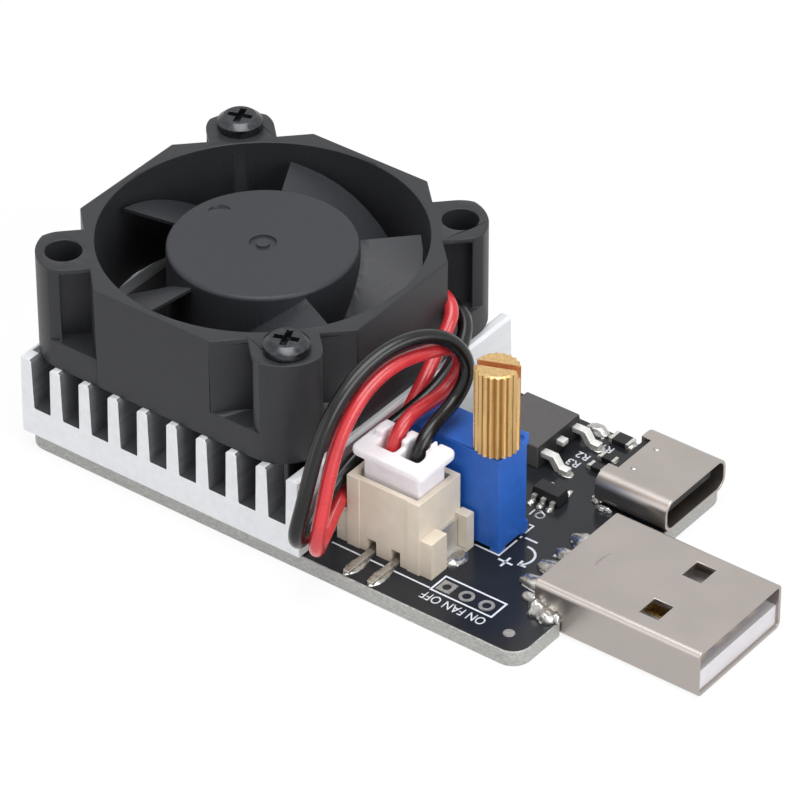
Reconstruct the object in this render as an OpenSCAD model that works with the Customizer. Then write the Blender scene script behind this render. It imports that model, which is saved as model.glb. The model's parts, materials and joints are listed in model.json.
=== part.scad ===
// Small plug-in electronic load: a metal-core board with a plug and a socket at its front edge,
// a finned heat sink with a fan screwed on top of it, a trimmer that sets the current and a fan header.
// Origin: centre of the board's underside. X runs towards the plug, Y across the board, Z up.

/* [Board] */
// Length of the board in front of the heat sink
zone_l = 22.3; // [22:0.1:28]
// Distance from the heat sink's back to the board's rear edge
rear_gap = 0.1; // [0:0.1:3]
// Width of the board
board_w = 30; // [29:0.1:34]
// Thickness of the metal core
core_t = 1.5; // [1:0.1:2]
// Thickness of the circuit and mask layer
mask_t = 0.1; // [0.05:0.01:0.2]
// Distance that the mask stays back from the board's edge
mask_inset = 0.15; // [0.05:0.05:0.3]
// Radius of the board's corners
board_corner_r = 1.8; // [0.5:0.1:2.5]

/* [Heat sink] */
// Length of the heat sink across its fins
sink_l = 30.2; // [28:0.1:34]
// Width of the heat sink along its fins
sink_w = 30; // [28:0.1:34]
// Sideways shift of the heat sink from the board's centre line
sink_shift = -0.5; // [-1:0.1:1]
// Thickness of the bond under the heat sink
bond_t = 0.15; // [0.05:0.05:0.5]
// Thickness of the heat sink's base
sink_base_t = 2.85; // [1.5:0.05:4]
// Height of the fins above the base
fin_h = 4.95; // [3:0.05:8]
// Number of fins
fin_count = 10; // [7:1:11]
// Thickness of a fin at its root
fin_root_t = 1.4; // [0.8:0.05:1.6]
// Thickness of a fin at its tip
fin_tip_t = 1.15; // [0.7:0.05:1.4]
// Chamfer at a fin's tip
fin_chamfer = 0.25; // [0.05:0.05:0.3]

/* [Fan frame] */
// Width of the fan across its flat sides
fan_w = 30; // [28:0.5:32]
// Height of the fan
fan_h = 10; // [9.5:0.1:12]
// Distance from the heat sink's front face to the fan's front face
fan_setback = 0.75; // [0:0.05:1.5]
// Distance between the fan's screw holes along one side
hole_pitch = 24; // [22:0.5:25]
// Diameter of the fan's screw holes
hole_d = 3.2; // [2.9:0.1:3.4]
// Radius of the corner lugs
lug_r = 3; // [2.4:0.1:3.2]
// Thickness of the bottom flange
flange_t = 2.8; // [1:0.1:3.5]
// Radius of the frame's corners
flange_r = 4.4; // [3:0.1:5]
// Wall between the air duct and the fan's flat sides
duct_wall = 0.7; // [0.5:0.1:2]
// Diameter of the motor seat
seat_d = 16.4; // [14:0.1:17]
// Thickness of the motor seat and its struts
seat_t = 1.2; // [0.8:0.1:1.5]
// Width of a strut
strut_w = 1.8; // [1:0.1:3]
// Number of struts
strut_count = 4; // [3:1:5]

/* [Fan motor] */
// Diameter of the rotor shaft
shaft_d = 1.5; // [1:0.1:2]
// Running clearance of the shaft in its bearing, on the radius
shaft_gap = 0.02; // [0.01:0.01:0.1]
// Outside diameter of the bearing sleeve
bearing_d = 3; // [2.6:0.1:3.6]
// Outside diameter of the bearing tube on the frame
tube_d = 4.6; // [4.2:0.1:5]
// Diameter of the step that the stator stands on
step_d = 5.4; // [5.2:0.1:6]
// Diameter of the ledge that the driver board lies on
ledge_d = 6.6; // [6.2:0.1:8]
// Height of the ledge above the motor seat
ledge_h = 0.5; // [0.3:0.1:0.8]
// Thickness of the driver board
driver_t = 0.6; // [0.4:0.1:0.8]
// Diameter of the driver board
driver_d = 13; // [10:0.1:13.5]
// Gap between the driver board and the stator coils
coil_gap = 0.2; // [0.1:0.05:0.5]
// Height of the stator core
core_h = 2.2; // [1.5:0.1:2.4]
// Height of a coil above and below the stator core
coil_t = 0.7; // [0.4:0.1:0.9]
// Air gap between the stator and the magnet
air_gap = 0.3; // [0.2:0.05:0.5]
// Thickness of the ring magnet
magnet_t = 1; // [0.6:0.1:1.2]
// Thickness of the steel yoke
yoke_t = 0.4; // [0.2:0.05:0.6]
// Height of the ring magnet
magnet_h = 3.4; // [2.5:0.1:3.8]

/* [Impeller] */
// Diameter of the hub
hub_d = 16.6; // [16:0.1:18]
// Thickness of the hub's wall
hub_wall = 1; // [0.7:0.05:1.2]
// Thickness of the hub's top
hub_top_t = 1.2; // [0.8:0.1:1.4]
// Depth of the hub's top below the top of the frame
hub_drop = 0.8; // [0.3:0.1:1.2]
// Radius of the hub's top edge
hub_edge_r = 0.4; // [0.1:0.05:0.6]
// Running gap between the blade tips and the duct
tip_gap = 0.7; // [0.3:0.05:1]
// Number of blades
blade_count = 5; // [4:1:6]
// Angle of the first blade's upper edge
blade_phase = 46; // [0:1:71]
// Angle that a blade covers at its root
blade_root_span = 56; // [40:1:60]
// Angle that a blade covers at its tip
blade_tip_span = 50; // [35:1:60]
// Angle that the upper edge sweeps back from root to tip
blade_sweep = 0; // [0:1:20]
// Greatest thickness of a blade
blade_t = 0.9; // [0.6:0.05:1.2]
// Depth of the blades' upper edge below the hub's top
blade_drop = 0.35; // [0.2:0.05:1.5]
// Gap between the blades' lower edge and the struts
blade_gap = 0.8; // [0.5:0.1:1.5]

/* [Fan screws] */
// Diameter of the screw's thread
screw_d = 2.6; // [2:0.1:2.8]
// Diameter of the screw's head
screw_head_d = 4; // [3.6:0.1:5]
// Height of the screw's head
screw_head_h = 1.2; // [1:0.1:2]
// Gap between the screw's tip and the heat sink's base
screw_tip_gap = 0.3; // [0.1:0.1:2]

/* [Leads and connector] */
// Diameter of a fan lead
lead_d = 1.3; // [1:0.1:1.5]
// Distance between the two pins
pin_pitch = 2.5; // [2.5:0.1:3]
// Width of a header pin
pin_w = 0.64; // [0.5:0.02:0.7]
// Thickness of a pin's foot on the board
foot_t = 0.4; // [0.25:0.05:0.5]
// Distance from the board's left edge to the ends of the pins' feet
foot_inset = 0.3; // [0.1:0.1:1.5]
// Length of the header's body along the pin row
header_l = 7.5; // [7.5:0.1:9]
// Width of the header's body
header_w = 5.75; // [5.6:0.05:6]
// Height of the header's body
header_h = 7.2; // [6:0.1:8]
// Thickness of the header's walls
header_wall = 0.6; // [0.4:0.05:0.7]
// Thickness of the header's floor
header_floor = 1.8; // [1.2:0.1:2.5]
// Gap between the heat sink and the header's ears
header_gap = 0.65; // [0.5:0.05:3]
// Distance from the board's left edge to the header's middle
header_inset = 6.6; // [6.4:0.1:7]
// Reach of an ear beyond the header's end
ear_l = 1.2; // [1:0.1:2]
// Width of an ear on the side of the pins' feet
ear_w = 2.3; // [1.5:0.05:2.5]
// Width of an ear on the other side
rear_ear_w = 1; // [0.7:0.05:2]
// Distance that the narrow ears stand out of the header's side
ear_out = 0.3; // [0.1:0.05:0.4]
// Height of an ear
ear_h = 3.6; // [2.5:0.1:5]
// Thickness of the solder tabs
tab_t = 0.3; // [0.2:0.05:0.5]
// Clearance of the plug in the header, on each side
plug_gap = 0.05; // [0.03:0.01:0.15]
// Length of the plug where it stands out of the header
plug_top_l = 5.8; // [5.4:0.1:6.1]
// Width of the plug where it stands out of the header
plug_top_w = 3.6; // [3.4:0.1:4.3]
// Height of the plug's flange above the header's rim
collar_rise = 1.9; // [1:0.1:3]
// Thickness of the plug's flange
collar_t = 0.8; // [0.6:0.1:2]
// Length of the plug's flange
collar_l = 7.5; // [7:0.1:8.5]
// Width of the plug's flange
collar_w = 4.9; // [4.6:0.1:5.4]
// Width of a contact channel in the plug
channel_w = 1.9; // [1.7:0.05:2.1]

/* [Trimmer] */
// Length of the trimmer
trimmer_l = 9.5; // [9.3:0.1:11]
// Width of the trimmer
trimmer_w = 4.2; // [4.1:0.1:5.4]
// Height of the trimmer's housing
trimmer_h = 9.4; // [9:0.1:11]
// Height of the feet under the trimmer
trimmer_foot = 0.3; // [0.2:0.05:0.6]
// Thickness of the trimmer's walls
trimmer_wall = 0.65; // [0.4:0.05:0.8]
// Distance from the trimmer's front face to the board's front edge
trimmer_setback = 9.35; // [8:0.1:11]
// Gap between the header's ears and the trimmer
trimmer_gap = 0.3; // [0.2:0.1:2]
// Distance of the adjuster's axis from the two housing faces at its corner
adjuster_inset = 1.27; // [1.2:0.01:1.35]
// Diameter of the adjuster screw's neck
neck_d = 2.2; // [1.8:0.05:2.3]
// Diameter of the worm on the adjuster screw
worm_d = 1.9; // [1.6:0.05:2]
// Running clearance of the adjuster screw and the wiper wheel, on the radius
turn_gap = 0.04; // [0.02:0.01:0.1]
// Diameter of the adjuster's knurled knob
knob_d = 3.9; // [3.4:0.1:4.4]
// Height of the knob
knob_h = 8.2; // [6:0.1:12]
// Gap between the knob and the trimmer's housing
knob_gap = 0.35; // [0.15:0.05:0.6]
// Number of flutes round the knob
knob_flutes = 20; // [16:1:32]
// Depth of a flute
flute_depth = 0.18; // [0.08:0.02:0.25]
// Width of the screwdriver slot
slot_w = 0.7; // [0.4:0.05:1]
// Depth of the screwdriver slot
slot_depth = 0.9; // [0.5:0.1:1.5]
// Angle of the screwdriver slot at rest
slot_turn = 22; // [0:1:179]
// Number of teeth on the wiper wheel
wheel_teeth = 30; // [24:1:36]
// Thickness of the wiper wheel
wheel_t = 0.9; // [0.6:0.05:1]
// Diameter of the wiper wheel's pivot
pivot_d = 1.6; // [1.2:0.1:2]
// Gap between the wiper wheel's teeth and the worm
mesh_gap = 0.1; // [0.05:0.01:0.2]

/* [Transistor] */
// Length of the transistor's body
fet_l = 6.1; // [5.8:0.1:6.4]
// Width of the transistor's body
fet_w = 6.6; // [6.2:0.1:6.8]
// Height of the transistor's body
fet_h = 2.1; // [2:0.05:2.5]
// Distance from the body's front to the board's front edge
fet_setback = 13.7; // [13:0.1:14.5]
// Distance from the transistor's middle to the board's left edge
fet_inset = 25; // [24:0.1:25.4]
// Distance between neighbouring leads
fet_pitch = 2.29; // [2:0.01:2.4]
// Width of a lead
fet_lead_w = 0.8; // [0.5:0.05:0.9]
// Thickness of a lead
fet_lead_t = 0.5; // [0.4:0.05:0.6]
// Reach of the leads beyond the body
fet_lead_l = 2.5; // [2.2:0.1:3]
// Reach of the tab beyond the body
fet_tab_l = 1.1; // [0.8:0.1:1.5]
// Slope of the body's sides, as run over height
fet_draft = 0.12; // [0.05:0.01:0.2]

/* [Small parts] */
// Length of the amplifier's body
amp_l = 2.9; // [2.7:0.05:3.1]
// Width of the amplifier's body
amp_w = 1.6; // [1.4:0.05:1.8]
// Height of the amplifier's body
amp_h = 1.1; // [0.9:0.05:1.3]
// Distance from the amplifier's middle to the board's front edge
amp_setback = 10.5; // [10:0.1:11]
// Distance from the amplifier's middle to the board's left edge
amp_inset = 18.95; // [18.5:0.05:19.5]
// Distance between neighbouring amplifier leads
amp_pitch = 0.95; // [0.85:0.01:1]
// Length of a large chip resistor
chip_big_l = 2; // [1.6:0.1:2.4]
// Width of a large chip resistor
chip_big_w = 1.25; // [0.8:0.05:1.3]
// Length of a small chip resistor
chip_small_l = 1.6; // [1:0.1:1.8]
// Width of a small chip resistor
chip_small_w = 0.8; // [0.5:0.05:0.9]
// Height of the chip resistors
chip_h = 0.5; // [0.3:0.05:0.6]
// Length of the current-sensing resistor
shunt_l = 6.3; // [5:0.1:6.4]
// Width of the current-sensing resistor
shunt_w = 3.2; // [2.5:0.1:3.4]
// Distance from the current-sensing resistor's middle to the board's front edge
shunt_setback = 17; // [16.5:0.1:17.5]
// Distance from the current-sensing resistor's middle to the board's left edge
shunt_inset = 18; // [17.6:0.1:18.4]

/* [Socket] */
// Width of the socket's shell
socket_w = 8.94; // [8.8:0.02:9.1]
// Height of the socket's shell
socket_h = 3.2; // [3.1:0.02:3.4]
// Length of the socket's shell
socket_l = 7.35; // [6.5:0.05:8]
// Radius of the shell's long edges
socket_r = 1.2; // [0.8:0.05:1.5]
// Thickness of the shell
socket_wall = 0.3; // [0.2:0.02:0.35]
// Reach of the shell past the board's front edge
socket_reach = 0.3; // [0:0.1:1.5]
// Distance from the socket's middle to the board's left edge
socket_inset = 25; // [24.6:0.1:25.3]
// Width of the socket's tongue
tongue_w = 6.7; // [6:0.1:6.8]
// Thickness of the socket's tongue
tongue_t = 0.7; // [0.6:0.02:0.8]
// Length of the block that carries the tongue
tongue_block_l = 2; // [1.5:0.1:3]
// Depth of the tongue's tip behind the mouth
tongue_depth = 0.8; // [0.4:0.1:2]
// Distance between neighbouring socket contacts
contact_pitch = 0.5; // [0.45:0.01:0.52]

/* [Plug] */
// Width of the plug's shell
plug_w = 12; // [11.9:0.05:12.1]
// Height of the plug's shell
plug_h = 4.5; // [4.4:0.05:4.6]
// Length of the plug's shell
plug_l = 16.4; // [15:0.1:19]
// Depth of the plug's seat in the board's edge
plug_seat = 2.7; // [1:0.1:4]
// Distance from the plug's middle to the board's left edge
plug_inset = 12; // [11:0.1:12.5]
// Thickness of the plug's shell
plug_wall = 0.32; // [0.25:0.01:0.4]
// Radius of the plug's long edges
plug_r = 0.6; // [0.45:0.05:0.9]
// Clearance between the plug and the notch in the board
notch_gap = 0.1; // [0.05:0.05:0.3]
// Length of a latch window
window_l = 1.9; // [1.5:0.1:2.5]
// Width of a latch window
window_w = 2.2; // [1.8:0.1:2.6]
// Distance from the plug's mouth to the middle of the latch windows
window_setback = 6.25; // [5:0.05:8]
// Distance between the middles of the latch windows
window_pitch = 6.15; // [5.5:0.05:6.5]
// Height of the plug's tongue
blade_h = 1.95; // [1.8:0.05:2.1]
// Length of the block that carries the plug's tongue
block_l = 6.5; // [5:0.1:8]
// Width of a plug contact
pad_w = 1.1; // [0.8:0.05:1.3]
// Thickness of a plug contact
pad_t = 0.25; // [0.15:0.05:0.4]
// Reach of the plug's contact tails over the board
tail_l = 2.8; // [1.5:0.1:3.5]
// Reach of the solder beside the plug
solder_l = 1.2; // [0.6:0.1:1.6]

/* [Jumper] */
// Distance between the jumper's pads
jumper_pitch = 2.05; // [1.8:0.05:2.3]
// Distance from the middle pad to the board's front edge
jumper_setback = 8.1; // [7.5:0.1:8.2]
// Distance from the jumper's pads to the board's left edge
jumper_inset = 3.9; // [2:0.1:4.5]
// Outside diameter of a jumper pad
jumper_d = 1.4; // [1:0.1:1.6]
// Diameter of a jumper hole
jumper_hole_d = 0.8; // [0.5:0.1:0.9]
// Thickness of a jumper pad
jumper_t = 0.05; // [0.03:0.01:0.1]

/* [Hidden] */
$fn = 48;
eps = 0.01;

// Board, heat sink and fan positions
board_l = rear_gap + sink_l + zone_l;
board_top = core_t + mask_t;
front_x = board_l / 2;
left_y = -board_w / 2;
sink_front_x = front_x - zone_l;
sink_x = sink_front_x - sink_l / 2;
sink_z = board_top + bond_t;
fin_z = sink_z + sink_base_t;
fin_step = (sink_l - fin_root_t) / (fin_count - 1);
fan_z = fin_z + fin_h;
fan_x = sink_front_x - fan_setback - fan_w / 2;
duct_d = fan_w - 2 * duct_wall;
screw_spots = [[-hole_pitch / 2, hole_pitch / 2], [hole_pitch / 2, -hole_pitch / 2]];
pocket_half = 2.1;
pocket_past = 0.6;
lug_plate_t = 0.5;
crown_h = 0.45;
crown_d = screw_head_d * 0.72;
cross_l = screw_head_d * 0.55;
cross_w = 0.6;
cross_depth = 0.8;
cross_turn = 20;

// Fan motor heights above the fan's underside
ledge_z = seat_t + ledge_h;
driver_z = ledge_z + driver_t;
stator_z = driver_z + coil_gap + coil_t;
stator_top = stator_z + core_h;
hub_top_z = fan_h - hub_drop;
hub_roof_z = hub_top_z - hub_top_t;
tube_top_z = stator_top + coil_t;
boss_gap = 0.2;
boss_d = tube_d - 0.6;
bearing_z = 0.6;
thrust_t = 0.2;
hub_z = seat_t + blade_gap;
magnet_d = hub_d - 2 * hub_wall - 2 * yoke_t;
stator_d = magnet_d - 2 * magnet_t - 2 * air_gap;
magnet_z = (stator_z + stator_top - magnet_h) / 2;
pole_count = 4;
pole_w = 1.8;
shoe_t = 0.7;
shoe_gap = 1.1;
coil_out = 0.8;

// Blade loft
blade_root_r = hub_d / 2 - hub_wall / 2;
blade_tip_r = duct_d / 2 - tip_gap;
blade_top_z = hub_top_z - blade_drop;
blade_low_z = seat_t + blade_gap;
blade_stations = 4;
blade_steps = 8;
blade_camber = 0.5;
hub_ring_d = 2.4;
hub_pip_d = 1.2;
hub_ring_depth = 0.2;
gate_spot = [-5.9, 1.5];
gate_d = 2;
gate_tilt = 10;

// Header and plug
header_ears_l = header_l + 2 * ear_l;
header_x = sink_front_x + header_gap + header_ears_l / 2;
header_y = left_y + header_inset;
header_top = board_top + header_h;
cavity_l = header_l - 2 * header_wall;
cavity_w = header_w - 2 * header_wall;
cavity_z = board_top + header_floor;
pin_slot_gap = 0.15;
pin_slot_h = 1.4;
pin_top_gap = 1.2;
plug_body_l = cavity_l - 2 * plug_gap;
plug_body_w = cavity_w - 2 * plug_gap;
plug_top_shift = [0.2, -0.15];
plug_top_drop = 1;
collar_z = header_top + collar_rise;
collar_r = 0.6;
contact_top_z = header_top - 0.6;
contact_wall_gap = 0.08;
ridge_h = 0.7;
ridge_w = 1.75;
ridge_l = 6.2;
ridge_short = 0.8;
ear_back = 0.15;
face_l = 5;
face_depth = 0.1;
channel_floor = 0.4;
lead_way_w = lead_d + 0.2;
tab_side_gap = 0.1;
tab_rise = 3.2;
tab_foot_out = 0.2;

// Trimmer
trimmer_x = front_x - trimmer_setback - trimmer_l / 2;
trimmer_y = header_y + header_w / 2 + ear_out + trimmer_gap + trimmer_w / 2;
trimmer_z = board_top + trimmer_foot;
trimmer_top = trimmer_z + trimmer_h;
adjuster_x = trimmer_x + trimmer_l / 2 - adjuster_inset;
adjuster_y = trimmer_y - trimmer_w / 2 + adjuster_inset;
room_floor_z = trimmer_z + trimmer_wall;
room_roof_z = trimmer_top - trimmer_wall;
room_front_y = trimmer_y - trimmer_w / 2 + trimmer_wall;
element_t = 0.7;
element_gap = 0.05;
element_l = trimmer_l - 2 * trimmer_wall - 2 * element_gap;
back_y = trimmer_y + trimmer_w / 2;
back_step = 0.3;
low_lip = 0.9;
high_lip = 0.6;
post_l = 1;
post_w = 0.6;
post_h = 0.5;
element_y = back_y - back_step - element_t;
wheel_r = (trimmer_l - 2 * trimmer_wall - worm_d) / 2 - 0.35;
wheel_x = adjuster_x - worm_d / 2 - mesh_gap - wheel_r;
wheel_z = (room_floor_z + room_roof_z) / 2;
wheel_y = adjuster_y - wheel_t / 2;
pivot_end_y = wheel_y + wheel_t + 0.9;
tooth_depth = 0.25;
journal_d = 1;
journal_depth = 0.4;
neck_rise = 1.6;
knob_z = trimmer_top + knob_gap;
knob_chamfer = 0.12;
knob_rim_d = knob_d - 2 * flute_depth + 0.1;
wiper_t = 0.2;
wiper_w = 0.8;
wiper_r = 2;
trimmer_pin_w = 0.5;
foot_w = 1;
trimmer_pin_pitch = 2.54;

// Transistor and small parts
fet_front_x = front_x - fet_setback;
fet_x = fet_front_x - fet_l / 2;
fet_y = left_y + fet_inset;
fet_tab_t = 0.5;
fet_tab_w = fet_w - 1.3;
fet_tab_in = 4.6;
fet_exit_z = 0.9;
amp_x = front_x - amp_setback;
amp_y = left_y + amp_inset;
amp_lift = 0.1;
amp_lead_w = 0.4;
amp_lead_t = 0.15;
amp_lead_l = 0.6;
amp_exit_z = 0.45;
chip_cap = 0.3;
chip_spots = [
    [front_x - 10.2, left_y + 29.2, chip_big_l, chip_big_w],
    [front_x - 9.6, left_y + 26.3, chip_small_l, chip_small_w],
    [front_x - 9.6, left_y + 24.7, chip_small_l, chip_small_w]
];
shunt_x = front_x - shunt_setback;
shunt_y = left_y + shunt_inset;
shunt_h = 0.6;
shunt_cap = 0.7;

// Socket and plug
socket_x = front_x + socket_reach - socket_l;
socket_y = left_y + socket_inset;
socket_z = board_top;
tongue_z = socket_z + socket_h / 2;
shell_notch_w = 4.8;
shell_notch_l = 1;
contact_w = 0.26;
contact_t = 0.05;
contact_count = 12;
plug_x = front_x - plug_seat;
plug_y = left_y + plug_inset;
plug_mouth_x = plug_x + plug_l;
window_x = plug_mouth_x - window_setback;
insulator_w = plug_w - 2 * plug_wall;
insulator_front_gap = 0.3;
insulator_back_gap = 0.3;
tongue_top_z = plug_wall + blade_h;
pad_spots = [-3.5, -1, 1, 3.5];
jumper_x = front_x - jumper_setback;
pad_front_gap = 1;
pad_front_x = plug_mouth_x - insulator_front_gap - pad_front_gap;

// Routes of the two fan leads, from the fan's corner pocket to the plug
red_pin_x = header_x - pin_pitch / 2;
black_pin_x = header_x + pin_pitch / 2;
lead_end_y = header_y - 0.2;
red_route = [
    [1.6, 7.2, 15.2], [2.6, 6.9, 15.3], [3.7, 6.3, 15.0], [4.2, 5.3, 14.2], [4.3, 4.0, 13.2],
    [4.5, 2.6, 12.2], [4.8, 0.9, 11.1], [4.8, -1.5, 8.9], [4.8, -4.0, 7.6], [4.8, -6.6, 6.9],
    [4.9, -9.2, 6.5], [5.1, -11.4, 6.0], [5.6, -13.3, 4.9], [6.1, -15.2, 4.2], [7.0, -16.9, 4.6],
    [7.7, -17.9, 6.3],
    [7.8, -17.4, 8.4], [7.5, -16.1, 11.2], [7.1, -14.2, 14.2], [7.2, -11.8, 16.9], [7.5, -8.9, 18.4],
    [8.1, -6.2, 18.7], [8.7, -4.2, 18.4], [9.0, -2.4, 18.0], [9.2, -0.6, 17.2], [9.3, 0.2, 15.4],
    [9.0, -0.6, 13.6], [8.7, -2.4, 12.8], [8.5, -4.2, 12.9], [red_pin_x, -6.0, 12.8],
    [red_pin_x, -7.7, 12.0], [red_pin_x, lead_end_y, 10.3], [red_pin_x, lead_end_y, contact_top_z]
];
black_route = [
    [0.8, 8.1, 13.8], [2.8, 8.1, 13.9], [4.2, 7.5, 13.5], [5.1, 6.2, 12.9], [5.8, 4.4, 12.2],
    [6.3, 2.0, 11.6], [6.3, -0.6, 10.9], [5.9, -2.8, 10.3], [5.5, -5.2, 9.8], [5.1, -7.6, 9.2],
    [4.9, -9.9, 8.4], [4.8, -12.1, 7.4], [5.0, -14.3, 6.0], [5.3, -16.2, 5.2], [6.0, -18.2, 5.8],
    [6.5, -19.2, 7.5],
    [6.7, -18.6, 9.3], [6.6, -17.4, 11.8], [6.4, -15.9, 14.5], [6.4, -13.7, 17.2], [6.7, -10.9, 19.2],
    [7.4, -7.7, 20.3], [8.4, -5.0, 20.4], [9.5, -3.0, 19.8], [10.5, -1.8, 18.4], [11.0, -1.2, 16.5],
    [10.9, -1.7, 14.7], [10.7, -3.1, 13.4], [10.7, -4.9, 13.0], [black_pin_x, -6.5, 12.7],
    [black_pin_x, -8.0, 11.7], [black_pin_x, lead_end_y, 10.1], [black_pin_x, lead_end_y, contact_top_z]
];

// Box between two opposite corners
module box(low, high) {
    translate(low) cube(high - low);
}

// Centred rectangle with round corners
module rounded_rect(size, r) {
    square([size.x - 2 * r, size.y], center = true);
    square([size.x, size.y - 2 * r], center = true);
    for (sx = [-1, 1], sy = [-1, 1])
        translate([sx * (size.x / 2 - r), sy * (size.y / 2 - r)]) circle(r);
}

// Extrusion of an outline drawn in X and Z, between two values of Y
module across(y0, y1) {
    translate([0, y1, 0]) rotate([90, 0, 0]) linear_extrude(y1 - y0) children();
}

// Extrusion of an outline drawn in Y and Z, between two values of X
module along(x0, x1) {
    translate([x0, 0, 0]) rotate([90, 0, 90]) linear_extrude(x1 - x0) children();
}

// Outline with sloping sides, standing on its base
module draft_outline(w, h, run) {
    polygon([[-w / 2, 0], [w / 2, 0], [w / 2 - run, h], [-w / 2 + run, h]]);
}

// Block on the board with sloping sides
module draft_block(centre, size, z0, draft) {
    run = draft * size.z;
    intersection() {
        translate([0, centre.y, z0]) along(centre.x - size.x / 2, centre.x + size.x / 2)
            draft_outline(size.y, size.z, run);
        translate([centre.x, 0, z0]) across(centre.y - size.y / 2, centre.y + size.y / 2)
            draft_outline(size.x, size.z, run);
    }
}

// Bent strip lead: out of a body, down to the board and flat along it
module gull_lead(reach, exit_z, t, w) {
    shoulder = reach * 0.25;
    heel = reach * 0.6;
    across(-w / 2, w / 2)
        polygon([
            [0, exit_z], [shoulder, exit_z], [heel - t / 2, 0], [reach, 0],
            [reach, t], [heel + t / 2, t], [shoulder + t, exit_z + t], [0, exit_z + t]
        ]);
}

module board_outline(inset) {
    difference() {
        rounded_rect([board_l - 2 * inset, board_w - 2 * inset], board_corner_r - inset);
        translate([plug_x - notch_gap - inset, plug_y - plug_w / 2 - notch_gap - inset])
            square([plug_seat + notch_gap + inset + 1, plug_w + 2 * notch_gap + 2 * inset]);
    }
}

module board_core() {
    color([0.68, 0.68, 0.66]) linear_extrude(core_t) board_outline(0);
}

module board_mask() {
    color([0.10, 0.11, 0.14]) translate([0, 0, core_t]) linear_extrude(mask_t) board_outline(mask_inset);
}

module bond_layer() {
    color([0.92, 0.92, 0.90]) translate([sink_x, 0, board_top]) linear_extrude(bond_t)
        square([sink_l, board_w - 2], center = true);
}

module fin_outline() {
    polygon([
        [-fin_root_t / 2, 0], [fin_root_t / 2, 0], [fin_tip_t / 2, fin_h - fin_chamfer],
        [fin_tip_t / 2 - fin_chamfer, fin_h], [-fin_tip_t / 2 + fin_chamfer, fin_h],
        [-fin_tip_t / 2, fin_h - fin_chamfer]
    ]);
}

module heat_sink() {
    color([0.84, 0.84, 0.85]) difference() {
        translate([sink_x, sink_shift, sink_z]) across(-sink_w / 2, sink_w / 2) {
            translate([-sink_l / 2, 0]) square([sink_l, sink_base_t]);
            for (i = [0 : fin_count - 1])
                translate([-sink_l / 2 + fin_root_t / 2 + i * fin_step, sink_base_t]) fin_outline();
        }
        for (p = screw_spots)
            translate([fan_x + p.x, p.y, fin_z + screw_tip_gap]) cylinder(d = screw_d, h = fin_h);
    }
}

module fan_outline() {
    rotate(22.5) circle(d = fan_w / cos(22.5), $fn = 8);
    intersection() {
        rounded_rect([fan_w, fan_w], flange_r);
        for (a = [45 : 90 : 315]) rotate(a) {
            translate([hole_pitch / sqrt(2), 0]) circle(lug_r);
            translate([duct_d / 2, -lug_r]) square([hole_pitch / sqrt(2) - duct_d / 2, 2 * lug_r]);
        }
    }
}

module fan_frame() {
    color([0.16, 0.16, 0.17]) translate([fan_x, 0, fan_z]) {
        difference() {
            union() {
                linear_extrude(fan_h) fan_outline();
                linear_extrude(flange_t) rounded_rect([fan_w, fan_w], flange_r);
            }
            translate([0, 0, -1]) cylinder(d = duct_d, h = fan_h + 2, $fn = 96);
            for (sx = [-1, 1], sy = [-1, 1])
                translate([sx * hole_pitch / 2, sy * hole_pitch / 2, -1]) cylinder(d = hole_d, h = fan_h + 2);
            for (a = [45 : 90 : 315], side = [0, 1]) rotate(a) mirror([0, side, 0])
                box([fan_w / 2, pocket_half, flange_t],
                    [hole_pitch / sqrt(2) + pocket_past, pocket_half + lug_r, fan_h - lug_plate_t]);
        }
        difference() {
            union() {
                cylinder(d = seat_d, h = seat_t);
                for (i = [0 : strut_count - 1]) rotate(45 + i * 360 / strut_count)
                    translate([seat_d / 2 - 1, -strut_w / 2, 0])
                        cube([(duct_d - seat_d) / 2 + 1.4, strut_w, seat_t]);
                cylinder(d = ledge_d, h = ledge_z);
                cylinder(d = step_d, h = stator_z);
                cylinder(d = tube_d, h = tube_top_z);
            }
            translate([0, 0, bearing_z]) cylinder(d = bearing_d, h = fan_h);
        }
    }
}

module fan_screws() {
    shank_l = fan_h + fin_h - screw_tip_gap;
    color([0.08, 0.08, 0.09])
        for (p = screw_spots) translate([fan_x + p.x, p.y, fan_z + fan_h]) difference() {
            union() {
                translate([0, 0, -shank_l]) cylinder(d = screw_d, h = shank_l + eps);
                cylinder(d = screw_head_d, h = screw_head_h - crown_h);
                translate([0, 0, screw_head_h - crown_h])
                    cylinder(d1 = screw_head_d, d2 = crown_d, h = crown_h);
            }
            for (a = [0, 90]) rotate(a + cross_turn)
                box([-cross_l / 2, -cross_w / 2, screw_head_h - cross_depth],
                    [cross_l / 2, cross_w / 2, screw_head_h + 1]);
        }
}

// Point on a blade: i counts stations from root to tip, j steps from the upper to the lower edge
function blade_point(i, j, side) =
    let (
        u = i / blade_stations,
        t = j / blade_steps,
        r = blade_root_r + u * (blade_tip_r - blade_root_r),
        span = blade_root_span + u * (blade_tip_span - blade_root_span),
        a = blade_phase - u * blade_sweep - t * span,
        rise = blade_top_z - blade_low_z - blade_t,
        middle = blade_top_z - blade_t / 2 - rise * t + blade_camber * sin(180 * t),
        half = blade_t / 2 * (0.35 + 0.65 * sin(180 * t))
    )
    [r * cos(a), r * sin(a), middle + side * half];

function blade_ring(i) = concat(
    [for (j = [0 : blade_steps]) blade_point(i, j, 1)],
    [for (j = [blade_steps : -1 : 0]) blade_point(i, j, -1)]
);

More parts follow.
